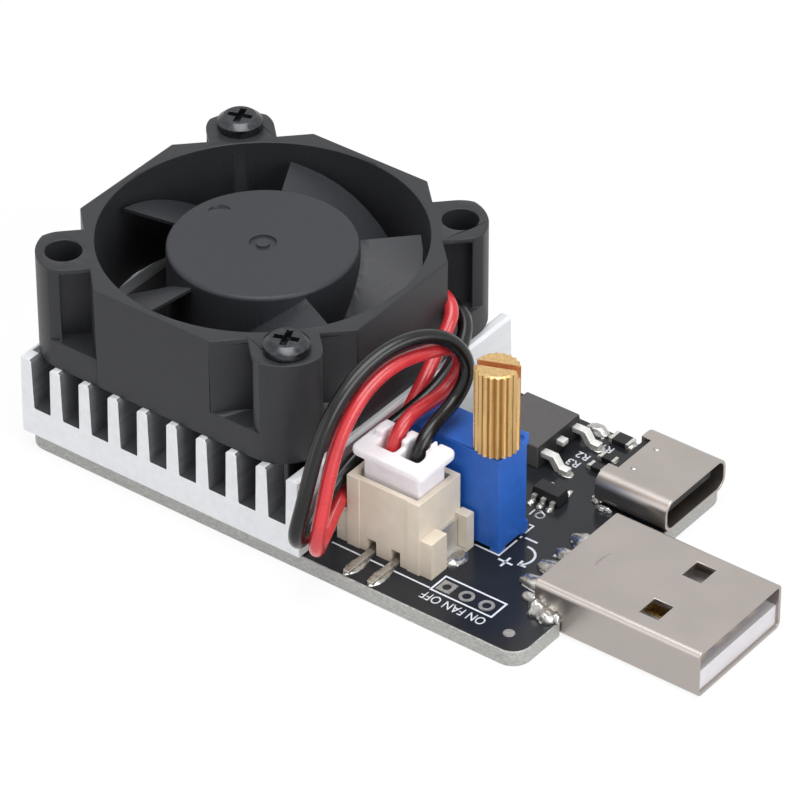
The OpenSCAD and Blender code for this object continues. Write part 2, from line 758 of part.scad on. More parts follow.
module blade() {
    ring = 2 * (blade_steps + 1);
    points = [for (i = [0 : blade_stations]) each blade_ring(i)];
    sides = [
        for (i = [0 : blade_stations - 1], k = [0 : ring - 1])
            let (n = (k + 1) % ring)
            each [
                [i * ring + k, (i + 1) * ring + k, (i + 1) * ring + n],
                [i * ring + k, (i + 1) * ring + n, i * ring + n]
            ]
    ];
    root_cap = [for (k = [0 : ring - 1]) k];
    tip_cap = [for (k = [ring - 1 : -1 : 0]) blade_stations * ring + k];
    polyhedron(points, concat(sides, [root_cap, tip_cap]));
}

module impeller() {
    color([0.19, 0.19, 0.20]) translate([fan_x, 0, fan_z]) {
        difference() {
            rotate_extrude($fn = 96) {
                translate([0, hub_z]) square([hub_d / 2, hub_top_z - hub_edge_r - hub_z]);
                translate([0, hub_z]) square([hub_d / 2 - hub_edge_r, hub_top_z - hub_z]);
                translate([hub_d / 2 - hub_edge_r, hub_top_z - hub_edge_r]) intersection() {
                    circle(hub_edge_r);
                    square(hub_edge_r);
                }
            }
            translate([0, 0, hub_z - 1]) difference() {
                cylinder(d = hub_d - 2 * hub_wall, h = hub_roof_z - hub_z + 1);
                translate([0, 0, tube_top_z + boss_gap - hub_z + 1]) cylinder(d = boss_d, h = fan_h);
            }
            cylinder(d = shaft_d, h = hub_roof_z + hub_top_t / 2);
            translate([0, 0, hub_top_z - hub_ring_depth]) difference() {
                cylinder(d = hub_ring_d, h = 1);
                translate([0, 0, -1]) cylinder(d = hub_pip_d, h = 3);
            }
            translate([gate_spot.x, gate_spot.y, hub_top_z]) rotate([-gate_tilt, -gate_tilt, 0])
                cylinder(d = gate_d, h = 1);
        }
        for (k = [0 : blade_count - 1]) rotate(k * 360 / blade_count) blade();
    }
}

module rotor_yoke() {
    color([0.55, 0.55, 0.56]) translate([fan_x, 0, fan_z]) difference() {
        translate([0, 0, magnet_z]) cylinder(d = hub_d - 2 * hub_wall, h = hub_roof_z - magnet_z);
        translate([0, 0, magnet_z - 1]) cylinder(d = magnet_d, h = fan_h);
    }
}

module ring_magnet() {
    color([0.25, 0.23, 0.22]) translate([fan_x, 0, fan_z + magnet_z]) difference() {
        cylinder(d = magnet_d, h = magnet_h);
        translate([0, 0, -1]) cylinder(d = magnet_d - 2 * magnet_t, h = magnet_h + 2);
    }
}

module rotor_shaft() {
    low = bearing_z + thrust_t;
    color([0.75, 0.75, 0.76]) translate([fan_x, 0, fan_z + low])
        cylinder(d = shaft_d, h = hub_roof_z + hub_top_t / 2 - low);
}

module bearing_sleeve() {
    low = bearing_z + thrust_t;
    color([0.66, 0.50, 0.28]) translate([fan_x, 0, fan_z + low]) difference() {
        cylinder(d = bearing_d, h = tube_top_z - low);
        translate([0, 0, -1]) cylinder(r = shaft_d / 2 + shaft_gap, h = tube_top_z + 2);
    }
}

module thrust_washer() {
    color([0.88, 0.86, 0.80]) translate([fan_x, 0, fan_z + bearing_z]) cylinder(d = bearing_d, h = thrust_t);
}

module stator_outline() {
    difference() {
        union() {
            circle(d = tube_d + 1.6);
            for (a = [0 : 360 / pole_count : 359]) rotate(a)
                translate([0, -pole_w / 2]) square([stator_d / 2 - shoe_t / 2, pole_w]);
            difference() {
                circle(d = stator_d);
                circle(d = stator_d - 2 * shoe_t);
                for (a = [0 : 360 / pole_count : 359]) rotate(a + 180 / pole_count)
                    translate([0, -shoe_gap / 2]) square([stator_d, shoe_gap]);
            }
        }
        circle(d = tube_d);
    }
}

module stator_core() {
    color([0.48, 0.48, 0.50]) translate([fan_x, 0, fan_z + stator_z]) linear_extrude(core_h) stator_outline();
}

module stator_coils() {
    r0 = tube_d / 2 + 1;
    side = pole_w / 2 + coil_out;
    r1 = sqrt(pow(stator_d / 2 - shoe_t, 2) - pow(side, 2)) - 0.05;
    color([0.72, 0.40, 0.20]) translate([fan_x, 0, fan_z])
        for (a = [0 : 360 / pole_count : 359]) rotate(a) difference() {
            box([r0, -side, stator_z - coil_t], [r1, side, stator_top + coil_t]);
            box([r0 - 1, -pole_w / 2, stator_z], [r1 + 1, pole_w / 2, stator_top]);
        }
}

module fan_driver_board() {
    color([0.10, 0.32, 0.18]) translate([fan_x, 0, fan_z + ledge_z]) difference() {
        cylinder(d = driver_d, h = driver_t);
        translate([0, 0, -1]) cylinder(d = step_d + 0.1, h = driver_t + 2);
    }
}

// Tube along a route: the ring's first direction is carried from point to point without twist
function unit(v) = v / norm(v);
function heading(p, i) = unit(p[min(i + 1, len(p) - 1)] - p[max(i - 1, 0)]);
function carried(p, i) =
    let (t = heading(p, i), n = i == 0 ? [0, 0, 1] : carried(p, i - 1))
    unit(n - (n * t) * t);
function tube_ring(p, i, r, sides) =
    let (t = heading(p, i), n = carried(p, i), b = cross(t, n))
    [for (k = [0 : sides - 1]) p[i] + r * (cos(k * 360 / sides) * n + sin(k * 360 / sides) * b)];

module tube(p, d) {
    sides = 8;
    last = len(p) - 1;
    points = [for (i = [0 : last]) each tube_ring(p, i, d / 2, sides)];
    walls = [
        for (i = [0 : last - 1], k = [0 : sides - 1])
            let (n = (k + 1) % sides)
            each [
                [i * sides + k, (i + 1) * sides + k, (i + 1) * sides + n],
                [i * sides + k, (i + 1) * sides + n, i * sides + n]
            ]
    ];
    start_cap = [for (k = [0 : sides - 1]) k];
    end_cap = [for (k = [sides - 1 : -1 : 0]) last * sides + k];
    polyhedron(points, concat(walls, [start_cap, end_cap]));
}

module lead_red() {
    color([0.80, 0.16, 0.15]) tube(red_route, lead_d);
}

module lead_black() {
    color([0.08, 0.08, 0.09]) tube(black_route, lead_d);
}

module header_housing() {
    color([0.87, 0.81, 0.71]) difference() {
        union() {
            translate([header_x, header_y, board_top]) translate([-header_l / 2, -header_w / 2, 0])
                cube([header_l, header_w, header_h]);
            for (s = [-1, 1]) translate([header_x + s * (header_l + ear_l) / 2, header_y, board_top]) {
                box([-ear_l / 2 - eps, ear_back - header_w / 2, 0],
                    [ear_l / 2 + eps, ear_w - header_w / 2, ear_h]);
                box([-ear_l / 2 - eps, header_w / 2 + ear_out - rear_ear_w, 0],
                    [ear_l / 2 + eps, header_w / 2 + ear_out, ear_h]);
            }
        }
        box([header_x - cavity_l / 2, header_y - cavity_w / 2, cavity_z],
            [header_x + cavity_l / 2, header_y + cavity_w / 2, header_top + 1]);
        box([header_x - face_l / 2, header_y - header_w / 2 - 1, board_top - 1],
            [header_x + face_l / 2, header_y - header_w / 2 + face_depth, header_top + 1]);
        for (s = [-1, 1]) {
            pin_x = header_x + s * pin_pitch / 2;
            box([pin_x - pin_w / 2 - pin_slot_gap, header_y - header_w / 2 - 1, board_top - 1],
                [pin_x + pin_w / 2 + pin_slot_gap, header_y - pin_w / 2, board_top + pin_slot_h]);
            box([pin_x - pin_w / 2, header_y - pin_w / 2, board_top - 1],
                [pin_x + pin_w / 2, header_y + pin_w / 2, cavity_z + 1]);
        }
    }
}

module header_pins() {
    color([0.78, 0.77, 0.74]) for (s = [-1, 1]) {
        pin_x = header_x + s * pin_pitch / 2;
        box([pin_x - pin_w / 2, header_y - pin_w / 2, board_top],
            [pin_x + pin_w / 2, header_y + pin_w / 2, header_top - pin_top_gap]);
        box([pin_x - pin_w / 2, left_y + foot_inset, board_top],
            [pin_x + pin_w / 2, header_y - pin_w / 2 + eps, board_top + foot_t]);
    }
}

module header_tabs() {
    tab_front = ear_w - header_w / 2 + tab_side_gap;
    tab_w = header_w / 2 + ear_out - rear_ear_w - tab_side_gap - tab_front;
    foot_l = ear_l + tab_foot_out;
    color([0.78, 0.77, 0.74]) for (s = [-1, 1]) translate([header_x, header_y + tab_front, board_top]) {
        translate([s * (header_l + tab_t) / 2 - tab_t / 2, 0, 0]) cube([tab_t, tab_w, tab_rise]);
        translate([s * (header_l + foot_l) / 2 - foot_l / 2, 0, 0]) cube([foot_l, tab_w, tab_t]);
    }
}

module plug_housing() {
    color([0.93, 0.92, 0.93]) difference() {
        union() {
            box([header_x - plug_body_l / 2, header_y - plug_body_w / 2, cavity_z],
                [header_x + plug_body_l / 2, header_y + plug_body_w / 2, header_top - plug_top_drop]);
            translate([header_x + plug_top_shift.x, header_y + plug_top_shift.y, 0])
                box([-plug_top_l / 2, -plug_top_w / 2, header_top - plug_top_drop - eps],
                    [plug_top_l / 2, plug_top_w / 2, collar_z + eps]);
            translate([header_x, header_y, collar_z]) linear_extrude(collar_t)
                rounded_rect([collar_l, collar_w], collar_r);
            translate([header_x, header_y, collar_z])
                box([-ridge_l / 2, 0, 0], [ridge_l / 2 - ridge_short, ridge_w, collar_t + ridge_h]);
        }
        for (s = [-1, 1]) translate([header_x + s * pin_pitch / 2, header_y, 0]) {
            box([-channel_w / 2, -channel_w / 2, cavity_z - 1],
                [channel_w / 2, channel_w / 2, collar_z + collar_t + 1]);
            box([-lead_way_w / 2, 0, collar_z + channel_floor],
                [lead_way_w / 2, collar_w, collar_z + collar_t + ridge_h + 1]);
        }
    }
}

module plug_contacts() {
    sleeve_w = channel_w - 2 * contact_wall_gap;
    color([0.80, 0.74, 0.58])
    for (pin_x = [red_pin_x, black_pin_x]) translate([pin_x, header_y, 0]) difference() {
        box([-sleeve_w / 2, -sleeve_w / 2, cavity_z], [sleeve_w / 2, sleeve_w / 2, contact_top_z]);
        box([-pin_w / 2 - contact_wall_gap, -pin_w / 2 - contact_wall_gap, cavity_z - 1],
            [pin_w / 2 + contact_wall_gap, pin_w / 2 + contact_wall_gap, contact_top_z - 0.4]);
    }
}

module trimmer_housing() {
    color([0.16, 0.38, 0.74]) difference() {
        union() {
            box([trimmer_x - trimmer_l / 2, trimmer_y - trimmer_w / 2, trimmer_z],
                [trimmer_x + trimmer_l / 2, trimmer_y + trimmer_w / 2, trimmer_top]);
            for (sx = [-1, 1], sy = [-1, 1])
                translate([trimmer_x, trimmer_y, board_top])
                    translate([sx * (trimmer_l - foot_w) / 2, sy * (trimmer_w - foot_w) / 2, 0])
                        box([-foot_w / 2, -foot_w / 2, 0], [foot_w / 2, foot_w / 2, trimmer_foot + eps]);
            box([trimmer_x + trimmer_l / 2 - post_l, back_y - post_w, trimmer_top - eps],
                [trimmer_x + trimmer_l / 2, back_y, trimmer_top + post_h]);
        }
        box([trimmer_x - trimmer_l, back_y - back_step, trimmer_z + low_lip],
            [trimmer_x + trimmer_l, back_y + 1, trimmer_top - high_lip]);
        difference() {
            box([trimmer_x - trimmer_l / 2 + trimmer_wall, room_front_y, room_floor_z],
                [trimmer_x + trimmer_l / 2 - trimmer_wall, trimmer_y + trimmer_w, room_roof_z]);
            translate([wheel_x, 0, wheel_z]) across(room_front_y - eps, pivot_end_y) circle(d = pivot_d);
        }
        translate([adjuster_x, adjuster_y, room_floor_z - journal_depth])
            cylinder(d = journal_d + 2 * turn_gap, h = trimmer_h / 2);
        translate([adjuster_x, adjuster_y, room_floor_z])
            cylinder(d = worm_d + 4 * turn_gap, h = room_roof_z - room_floor_z);
        translate([adjuster_x, adjuster_y, room_roof_z - 1])
            cylinder(d = neck_d + 2 * turn_gap, h = trimmer_h);
    }
}

module trimmer_element() {
    color([0.90, 0.89, 0.85])
        box([trimmer_x - element_l / 2, element_y, room_floor_z],
            [trimmer_x + element_l / 2, element_y + element_t, room_roof_z - element_gap]);
}

module trimmer_pins() {
    half = trimmer_pin_w / 2;
    color([0.78, 0.77, 0.74]) for (i = [-1 : 1]) translate([trimmer_x + i * trimmer_pin_pitch, back_y, 0]) {
        box([-half, 0, board_top], [half, half, trimmer_z + low_lip]);
        box([-half, 0, board_top], [half, 4 * half, board_top + half]);
    }
}

module adjuster_screw() {
    color([0.76, 0.60, 0.30]) translate([adjuster_x, adjuster_y, 0]) {
        translate([0, 0, room_floor_z - journal_depth + turn_gap])
            cylinder(d = journal_d, h = journal_depth + 0.4);
        translate([0, 0, room_floor_z + turn_gap]) difference() {
            cylinder(d = worm_d, h = room_roof_z - room_floor_z - 2 * turn_gap);
            for (i = [0 : 9]) translate([0, 0, 1.2 + i * 0.65]) rotate_extrude()
                polygon([[worm_d / 2 - tooth_depth, 0.15], [worm_d / 2 + 0.1, 0], [worm_d / 2 + 0.1, 0.45],
                    [worm_d / 2 - tooth_depth, 0.3]]);
        }
        translate([0, 0, room_roof_z - turn_gap - eps])
            cylinder(d = neck_d, h = trimmer_wall + turn_gap + neck_rise + knob_gap);
    }
}

module knob_outline() {
    steps = 4;
    polygon([
        for (i = [0 : knob_flutes * steps - 1])
            let (a = i * 360 / (knob_flutes * steps), r = knob_d / 2 - (i % steps < 2 ? 0 : flute_depth))
            [r * cos(a), r * sin(a)]
    ]);
}

module adjuster_knob() {
    color([0.80, 0.64, 0.34]) translate([adjuster_x, adjuster_y, knob_z]) difference() {
        union() {
            linear_extrude(knob_h - knob_chamfer) knob_outline();
            translate([0, 0, knob_h - knob_chamfer])
                cylinder(d1 = knob_rim_d, d2 = knob_rim_d - 2 * knob_chamfer, h = knob_chamfer);
        }
        translate([0, 0, -1]) cylinder(d = neck_d, h = neck_rise + 1);
        rotate(slot_turn) translate([-knob_d, -slot_w / 2, knob_h - slot_depth])
            cube([2 * knob_d, slot_w, slot_depth + 1]);
    }
}

module wheel_outline() {
    steps = 4;
    polygon([
        for (i = [0 : wheel_teeth * steps - 1])
            let (a = i * 360 / (wheel_teeth * steps), r = wheel_r - (i % steps < 2 ? 0 : tooth_depth))
            [r * cos(a), r * sin(a)]
    ]);
}

module wiper_wheel() {
    color([0.90, 0.88, 0.82]) translate([wheel_x, 0, wheel_z]) difference() {
        union() {
            across(wheel_y, wheel_y + wheel_t) wheel_outline();
            across(wheel_y + wheel_t - eps, pivot_end_y - 0.2) circle(d = pivot_d + 1.2);
        }
        across(wheel_y - 1, pivot_end_y + 1) circle(d = pivot_d + 2 * turn_gap);
    }
}

module wiper_contact() {
    y0 = wheel_y + wheel_t;
    color([0.80, 0.68, 0.40]) translate([wheel_x, 0, wheel_z]) {
        box([-wiper_w / 2, y0, pivot_d / 2 + 0.7], [wiper_w / 2, y0 + wiper_t, wiper_r + wiper_w]);
        box([-wiper_w / 2, y0, wiper_r], [wiper_w / 2, element_y - turn_gap, wiper_r + wiper_w]);
    }
}

module transistor_body() {
    color([0.33, 0.33, 0.34]) difference() {
        draft_block([fet_x, fet_y], [fet_l, fet_w, fet_h], board_top, fet_draft);
        box([fet_x - fet_l, fet_y - fet_tab_w / 2, board_top - 1],
            [fet_x - fet_l / 2 + fet_tab_in, fet_y + fet_tab_w / 2, board_top + fet_tab_t]);
        for (i = [-1 : 1]) translate([fet_front_x - 1, fet_y + i * fet_pitch, board_top + fet_exit_z])
            translate([0, -fet_lead_w / 2, 0]) cube([2, fet_lead_w, fet_lead_t]);
    }
}

module transistor_leads() {
    color([0.80, 0.80, 0.79]) translate([fet_front_x, fet_y, board_top]) {
        for (s = [-1, 1]) translate([0, s * fet_pitch, 0]) {
            gull_lead(fet_lead_l, fet_exit_z, fet_lead_t, fet_lead_w);
            translate([-1, -fet_lead_w / 2, fet_exit_z]) cube([1 + eps, fet_lead_w, fet_lead_t]);
        }
        translate([-1, -fet_lead_w / 2, fet_exit_z]) cube([1.5, fet_lead_w, fet_lead_t]);
    }
}

module transistor_tab() {
    color([0.80, 0.80, 0.79])
        box([fet_x - fet_l / 2 - fet_tab_l, fet_y - fet_tab_w / 2, board_top],
            [fet_x - fet_l / 2 + fet_tab_in, fet_y + fet_tab_w / 2, board_top + fet_tab_t]);
}

module amplifier_body() {
    color([0.14, 0.14, 0.15])
        draft_block([amp_x, amp_y], [amp_l, amp_w, amp_h], board_top + amp_lift, fet_draft);
}

module amplifier_leads() {
    inset = fet_draft * (amp_exit_z - amp_lift + amp_lead_t);
    color([0.80, 0.80, 0.79]) translate([amp_x, amp_y, board_top]) {
        for (i = [-1 : 1]) translate([i * amp_pitch, -amp_w / 2 + inset, 0]) rotate(-90)
            gull_lead(amp_lead_l + inset, amp_exit_z, amp_lead_t, amp_lead_w);
        for (i = [-1, 1]) translate([i * amp_pitch, amp_w / 2 - inset, 0]) rotate(90)
            gull_lead(amp_lead_l + inset, amp_exit_z, amp_lead_t, amp_lead_w);
    }
}

module chip_body(x, y, size, cap) {
    translate([x, y, board_top]) translate([-size.x / 2 + cap, -size.y / 2, 0])
        cube([size.x - 2 * cap, size.y, size.z]);
}

module chip_ends(x, y, size, cap) {
    for (s = [-1, 1]) translate([x + s * (size.x - cap) / 2 - cap / 2, y - size.y / 2, board_top])
        cube([cap, size.y, size.z]);
}

module chip_bodies() {
    color([0.10, 0.10, 0.11]) for (c = chip_spots) chip_body(c[0], c[1], [c[2], c[3], chip_h], chip_cap);
}

module chip_terminals() {
    color([0.82, 0.82, 0.81]) for (c = chip_spots) chip_ends(c[0], c[1], [c[2], c[3], chip_h], chip_cap);
}

module shunt_body() {
    color([0.10, 0.10, 0.11]) chip_body(shunt_x, shunt_y, [shunt_l, shunt_w, shunt_h], shunt_cap);
}

module shunt_terminals() {
    color([0.82, 0.82, 0.81]) chip_ends(shunt_x, shunt_y, [shunt_l, shunt_w, shunt_h], shunt_cap);
}

module socket_shell() {
    color([0.70, 0.68, 0.66]) translate([0, socket_y, socket_z + socket_h / 2]) difference() {
        along(socket_x, socket_x + socket_l) rounded_rect([socket_w, socket_h], socket_r);
        along(socket_x + socket_wall, socket_x + socket_l + 1)
            rounded_rect([socket_w - 2 * socket_wall, socket_h - 2 * socket_wall], socket_r - socket_wall);
        box([socket_x - 1, -shell_notch_w / 2, 0], [socket_x + shell_notch_l, shell_notch_w / 2, socket_h]);
    }
}

module socket_tongue() {
    inner = [socket_w - 2 * socket_wall, socket_h - 2 * socket_wall];
    back = socket_x + socket_wall;
    color([0.08, 0.08, 0.09]) translate([0, socket_y, tongue_z]) {
        along(back, back + tongue_block_l) square([tongue_w, inner.y], center = true);
        along(back + tongue_block_l - eps, socket_x + socket_l - tongue_depth)
            square([tongue_w, tongue_t], center = true);
    }
}

module socket_contacts() {
    x0 = socket_x + socket_wall + tongue_block_l;
    x1 = socket_x + socket_l - tongue_depth - 0.5;
    color([0.85, 0.70, 0.36]) for (s = [-1, 1], i = [0 : contact_count - 1]) {
        y = socket_y + (i - (contact_count - 1) / 2) * contact_pitch;
        z = tongue_z + s * (tongue_t / 2 + contact_t / 2);
        box([x0, y - contact_w / 2, z - contact_t / 2], [x1, y + contact_w / 2, z + contact_t / 2]);
    }
}

module usb_plug_shell() {
    color([0.71, 0.69, 0.67]) difference() {
        translate([0, plug_y, plug_h / 2]) along(plug_x, plug_mouth_x) rounded_rect([plug_w, plug_h], plug_r);
        translate([0, plug_y, plug_h / 2]) along(plug_x - 1, plug_mouth_x + 1)
            rounded_rect([insulator_w, plug_h - 2 * plug_wall], plug_r - plug_wall);
        for (s = [-1, 1]) translate([window_x, plug_y + s * window_pitch / 2, 0])
            box([-window_l / 2, -window_w / 2, -1], [window_l / 2, window_w / 2, plug_h + 1]);
    }
}

module pad_slots() {
    for (p = pad_spots)
        box([plug_x - 1, plug_y + p - pad_w / 2, tongue_top_z],
            [pad_front_x, plug_y + p + pad_w / 2, tongue_top_z + pad_t]);
}

module usb_plug_insulator() {
    r = plug_r - plug_wall;
    back = plug_x + insulator_back_gap;
    color([0.90, 0.90, 0.91]) difference() {
        translate([0, plug_y, plug_h / 2]) intersection() {
            along(back, plug_mouth_x - insulator_front_gap)
                rounded_rect([insulator_w, plug_h - 2 * plug_wall], r);
            union() {
                along(back, back + block_l) square([plug_w, plug_h], center = true);
                translate([0, 0, tongue_top_z - plug_h]) along(back, plug_mouth_x)
                    square([plug_w, plug_h], center = true);
            }
        }
        pad_slots();
    }
}

module usb_plug_contacts() {
    back = plug_x - notch_gap;
    color([0.85, 0.70, 0.36]) for (p = pad_spots) translate([0, plug_y + p, 0]) {
        box([back, -pad_w / 2, tongue_top_z], [pad_front_x, pad_w / 2, tongue_top_z + pad_t]);
        box([back - pad_t, -pad_w / 2, board_top], [back, pad_w / 2, tongue_top_z + pad_t]);
        box([plug_x - tail_l, -pad_w / 2, board_top], [back, pad_w / 2, board_top + pad_t]);
    }
}

module solder_fillets() {
    color([0.80, 0.80, 0.79]) for (s = [-1, 1]) translate([0, plug_y + s * plug_w / 2, board_top])
        along(plug_x, front_x - mask_inset)
            polygon([[0, 0], [s * solder_l, 0], [s * solder_l * 0.4, solder_l * 0.4], [0, solder_l]]);
}

module jumper_pads() {
    color([0.80, 0.78, 0.70]) for (i = [-1 : 1])
        translate([jumper_x + i * jumper_pitch, left_y + jumper_inset, board_top]) difference() {
            if (i < 0)
                translate([-jumper_d / 2, -jumper_d / 2, 0]) cube([jumper_d, jumper_d, jumper_t]);
            else
                cylinder(d = jumper_d, h = jumper_t);
            translate([0, 0, -1]) cylinder(d = jumper_hole_d, h = 2);
        }
}

board_core();
board_mask();
heat_sink();
bond_layer();
fan_frame();
fan_screws();
impeller();
rotor_yoke();
ring_magnet();
rotor_shaft();
bearing_sleeve();
thrust_washer();
stator_core();
stator_coils();
fan_driver_board();
lead_red();
lead_black();
plug_housing();
plug_contacts();
header_housing();
header_pins();
header_tabs();
trimmer_housing();
trimmer_element();
trimmer_pins();
adjuster_screw();
adjuster_knob();
wiper_wheel();
wiper_contact();
transistor_body();
transistor_leads();
transistor_tab();
amplifier_body();
amplifier_leads();
chip_bodies();
chip_terminals();
shunt_body();
shunt_terminals();
socket_shell();
socket_tongue();
socket_contacts();
usb_plug_shell();
usb_plug_insulator();
usb_plug_contacts();
solder_fillets();
jumper_pads();
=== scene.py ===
# A small plug-in electronic load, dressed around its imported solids.
# Everything is in metres, in the frame of the solids: X towards the plug, Y across the board, Z up.
import bpy
import bmesh
import json
import math
from mathutils import Matrix, Vector, noise

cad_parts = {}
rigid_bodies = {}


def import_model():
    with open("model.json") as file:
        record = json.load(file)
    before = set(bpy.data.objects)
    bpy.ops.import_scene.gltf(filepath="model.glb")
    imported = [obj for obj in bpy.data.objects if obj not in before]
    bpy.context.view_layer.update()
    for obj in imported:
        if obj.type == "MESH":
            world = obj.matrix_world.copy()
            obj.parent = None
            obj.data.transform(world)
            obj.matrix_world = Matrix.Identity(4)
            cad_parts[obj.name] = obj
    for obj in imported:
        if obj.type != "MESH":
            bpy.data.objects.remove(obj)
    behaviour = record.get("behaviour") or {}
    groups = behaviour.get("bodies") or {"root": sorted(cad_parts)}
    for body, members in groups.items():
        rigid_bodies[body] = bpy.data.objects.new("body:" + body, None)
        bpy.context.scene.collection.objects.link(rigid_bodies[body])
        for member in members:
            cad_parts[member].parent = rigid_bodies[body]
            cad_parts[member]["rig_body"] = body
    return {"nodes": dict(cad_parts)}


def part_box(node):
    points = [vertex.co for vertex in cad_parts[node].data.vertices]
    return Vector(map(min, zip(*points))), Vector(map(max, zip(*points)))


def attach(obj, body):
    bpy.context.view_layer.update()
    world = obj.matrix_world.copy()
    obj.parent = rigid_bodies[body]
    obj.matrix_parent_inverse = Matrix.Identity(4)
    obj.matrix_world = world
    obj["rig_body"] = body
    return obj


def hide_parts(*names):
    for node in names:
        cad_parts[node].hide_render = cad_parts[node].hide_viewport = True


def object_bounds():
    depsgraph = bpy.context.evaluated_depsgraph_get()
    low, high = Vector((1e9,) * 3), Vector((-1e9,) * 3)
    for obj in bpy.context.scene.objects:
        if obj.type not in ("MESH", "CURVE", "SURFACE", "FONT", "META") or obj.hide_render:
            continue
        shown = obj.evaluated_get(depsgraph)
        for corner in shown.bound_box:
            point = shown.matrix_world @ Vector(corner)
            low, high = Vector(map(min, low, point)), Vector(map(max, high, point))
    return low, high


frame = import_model()
cad_low, cad_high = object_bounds()

# Camera.
# A long lens, seen from the plug's side and from above, as in the product photograph.
# Its focal length is given in picture points, for a square picture.
MM = 0.001
picture_points = 800
lens_points = 5465.3
sensor_width = 36.0
camera_aim = Vector((6.3, -4.528, 12.719)) * MM
camera_azimuth = math.radians(37.27)
camera_elevation = math.radians(35.97)
camera_roll = math.radians(-0.147)
camera_distance = 456.28 * MM
camera_data = bpy.data.cameras.new("photo_camera")
camera_data.sensor_width = sensor_width
camera_data.lens = lens_points / picture_points * sensor_width
camera_data.clip_start = 0.01
camera_data.clip_end = 20.0
camera = bpy.data.objects.new("photo_camera", camera_data)
bpy.context.scene.collection.objects.link(camera)
camera_back = Vector((
    math.sin(camera_azimuth) * math.cos(camera_elevation),
    -math.cos(camera_azimuth) * math.cos(camera_elevation),
    math.sin(camera_elevation),
))
camera.rotation_mode = "QUATERNION"
camera.location = camera_aim + camera_back * camera_distance
camera.rotation_quaternion = (
    (-camera_back).to_track_quat("-Z", "Y") @ Matrix.Rotation(camera_roll, 3, "Z").to_quaternion()
)
bpy.context.scene.camera = camera

# Floor and studio light.
# A plain white sweep under the load, a broad soft lamp on each side and one overhead.
# The sweep and the room look white in the picture and in reflections, and light nothing by that.
floor_half = 4.0
floor_gap = 0.00002
floor_whiteness = 0.88
room_light = 0.30
floor_mesh = bpy.data.meshes.new("floor")
floor_shape = bmesh.new()
bmesh.ops.create_grid(floor_shape, x_segments=1, y_segments=1, size=floor_half)
floor_shape.to_mesh(floor_mesh)
floor_shape.free()
floor = bpy.data.objects.new("floor", floor_mesh)
floor.location = (0, 0, cad_low.z - floor_gap)
bpy.context.scene.collection.objects.link(floor)


def white_rays(nodes, links, share):
    """A factor that is share for rays from the camera, a mirror or a window, and nothing for light."""
    path = nodes.new("ShaderNodeLightPath")
    either = nodes.new("ShaderNodeMath")
    either.operation = "MAXIMUM"
    links.new(path.outputs["Is Camera Ray"], either.inputs[0])
    links.new(path.outputs["Is Glossy Ray"], either.inputs[1])
    any_ray = nodes.new("ShaderNodeMath")
    any_ray.operation = "MAXIMUM"
    links.new(either.outputs["Value"], any_ray.inputs[0])
    links.new(path.outputs["Is Transmission Ray"], any_ray.inputs[1])
    factor = nodes.new("ShaderNodeMath")
    factor.operation = "MULTIPLY"
    factor.inputs[1].default_value = share
    links.new(any_ray.outputs["Value"], factor.inputs[0])
    return factor.outputs["Value"]


floor_white = bpy.data.materials.new("floor_white")
floor_white.use_nodes = True
floor_nodes, floor_links = floor_white.node_tree.nodes, floor_white.node_tree.links
floor_shader = floor_nodes["Principled BSDF"]
floor_shader.inputs["Base Color"].default_value = (0.90, 0.90, 0.90, 1.0)
floor_shader.inputs["Roughness"].default_value = 0.9
floor_shader.inputs["Specular IOR Level"].default_value = 0.0
floor_glow = floor_nodes.new("ShaderNodeEmission")
floor_glow.inputs["Color"].default_value = (1.0, 1.0, 1.0, 1.0)
floor_glow.inputs["Strength"].default_value = 1.0
floor_mix = floor_nodes.new("ShaderNodeMixShader")
floor_links.new(white_rays(floor_nodes, floor_links, floor_whiteness), floor_mix.inputs["Fac"])
floor_links.new(floor_shader.outputs["BSDF"], floor_mix.inputs[1])
floor_links.new(floor_glow.outputs["Emission"], floor_mix.inputs[2])
floor_links.new(floor_mix.outputs["Shader"], floor_nodes["Material Output"].inputs["Surface"])
floor_mesh.materials.append(floor_white)

studio = bpy.data.worlds.new("studio")
bpy.context.scene.world = studio
studio.use_nodes = True
studio_nodes, studio_links = studio.node_tree.nodes, studio.node_tree.links
studio_light = studio_nodes["Background"]
studio_light.inputs["Color"].default_value = (1.0, 1.0, 1.0, 1.0)
studio_light.inputs["Strength"].default_value = room_light
studio_white = studio_nodes.new("ShaderNodeBackground")
studio_white.inputs["Color"].default_value = (1.0, 1.0, 1.0, 1.0)
studio_white.inputs["Strength"].default_value = 1.0
studio_mix = studio_nodes.new("ShaderNodeMixShader")
studio_links.new(white_rays(studio_nodes, studio_links, 1.0), studio_mix.inputs["Fac"])
studio_links.new(studio_light.outputs["Background"], studio_mix.inputs[1])
studio_links.new(studio_white.outputs["Background"], studio_mix.inputs[2])
studio_links.new(studio_mix.outputs["Shader"], studio_nodes["World Output"].inputs["Surface"])
for lamp_name, lamp_place, lamp_size, lamp_power in (
    ("overhead_lamp", (0.05, -0.06, 0.58), 0.50, 3.0),
    ("right_lamp", (0.55, -0.10, 0.30), 0.40, 1.75),
    ("left_lamp", (-0.25, -0.55, 0.30), 0.40, 0.45),
):
    lamp_data = bpy.data.lights.new(lamp_name, "AREA")
    lamp_data.shape = "DISK"
    lamp_data.size = lamp_size
    lamp_data.energy = lamp_power
    lamp = bpy.data.objects.new(lamp_name, lamp_data)
    lamp.location = lamp_place
    lamp.rotation_mode = "QUATERNION"
    lamp.rotation_quaternion = (Vector((0, 0, 0.01)) - Vector(lamp_place)).to_track_quat("-Z", "Y")
    bpy.context.scene.collection.objects.link(lamp)
bpy.context.scene.view_settings.view_transform = "Standard"


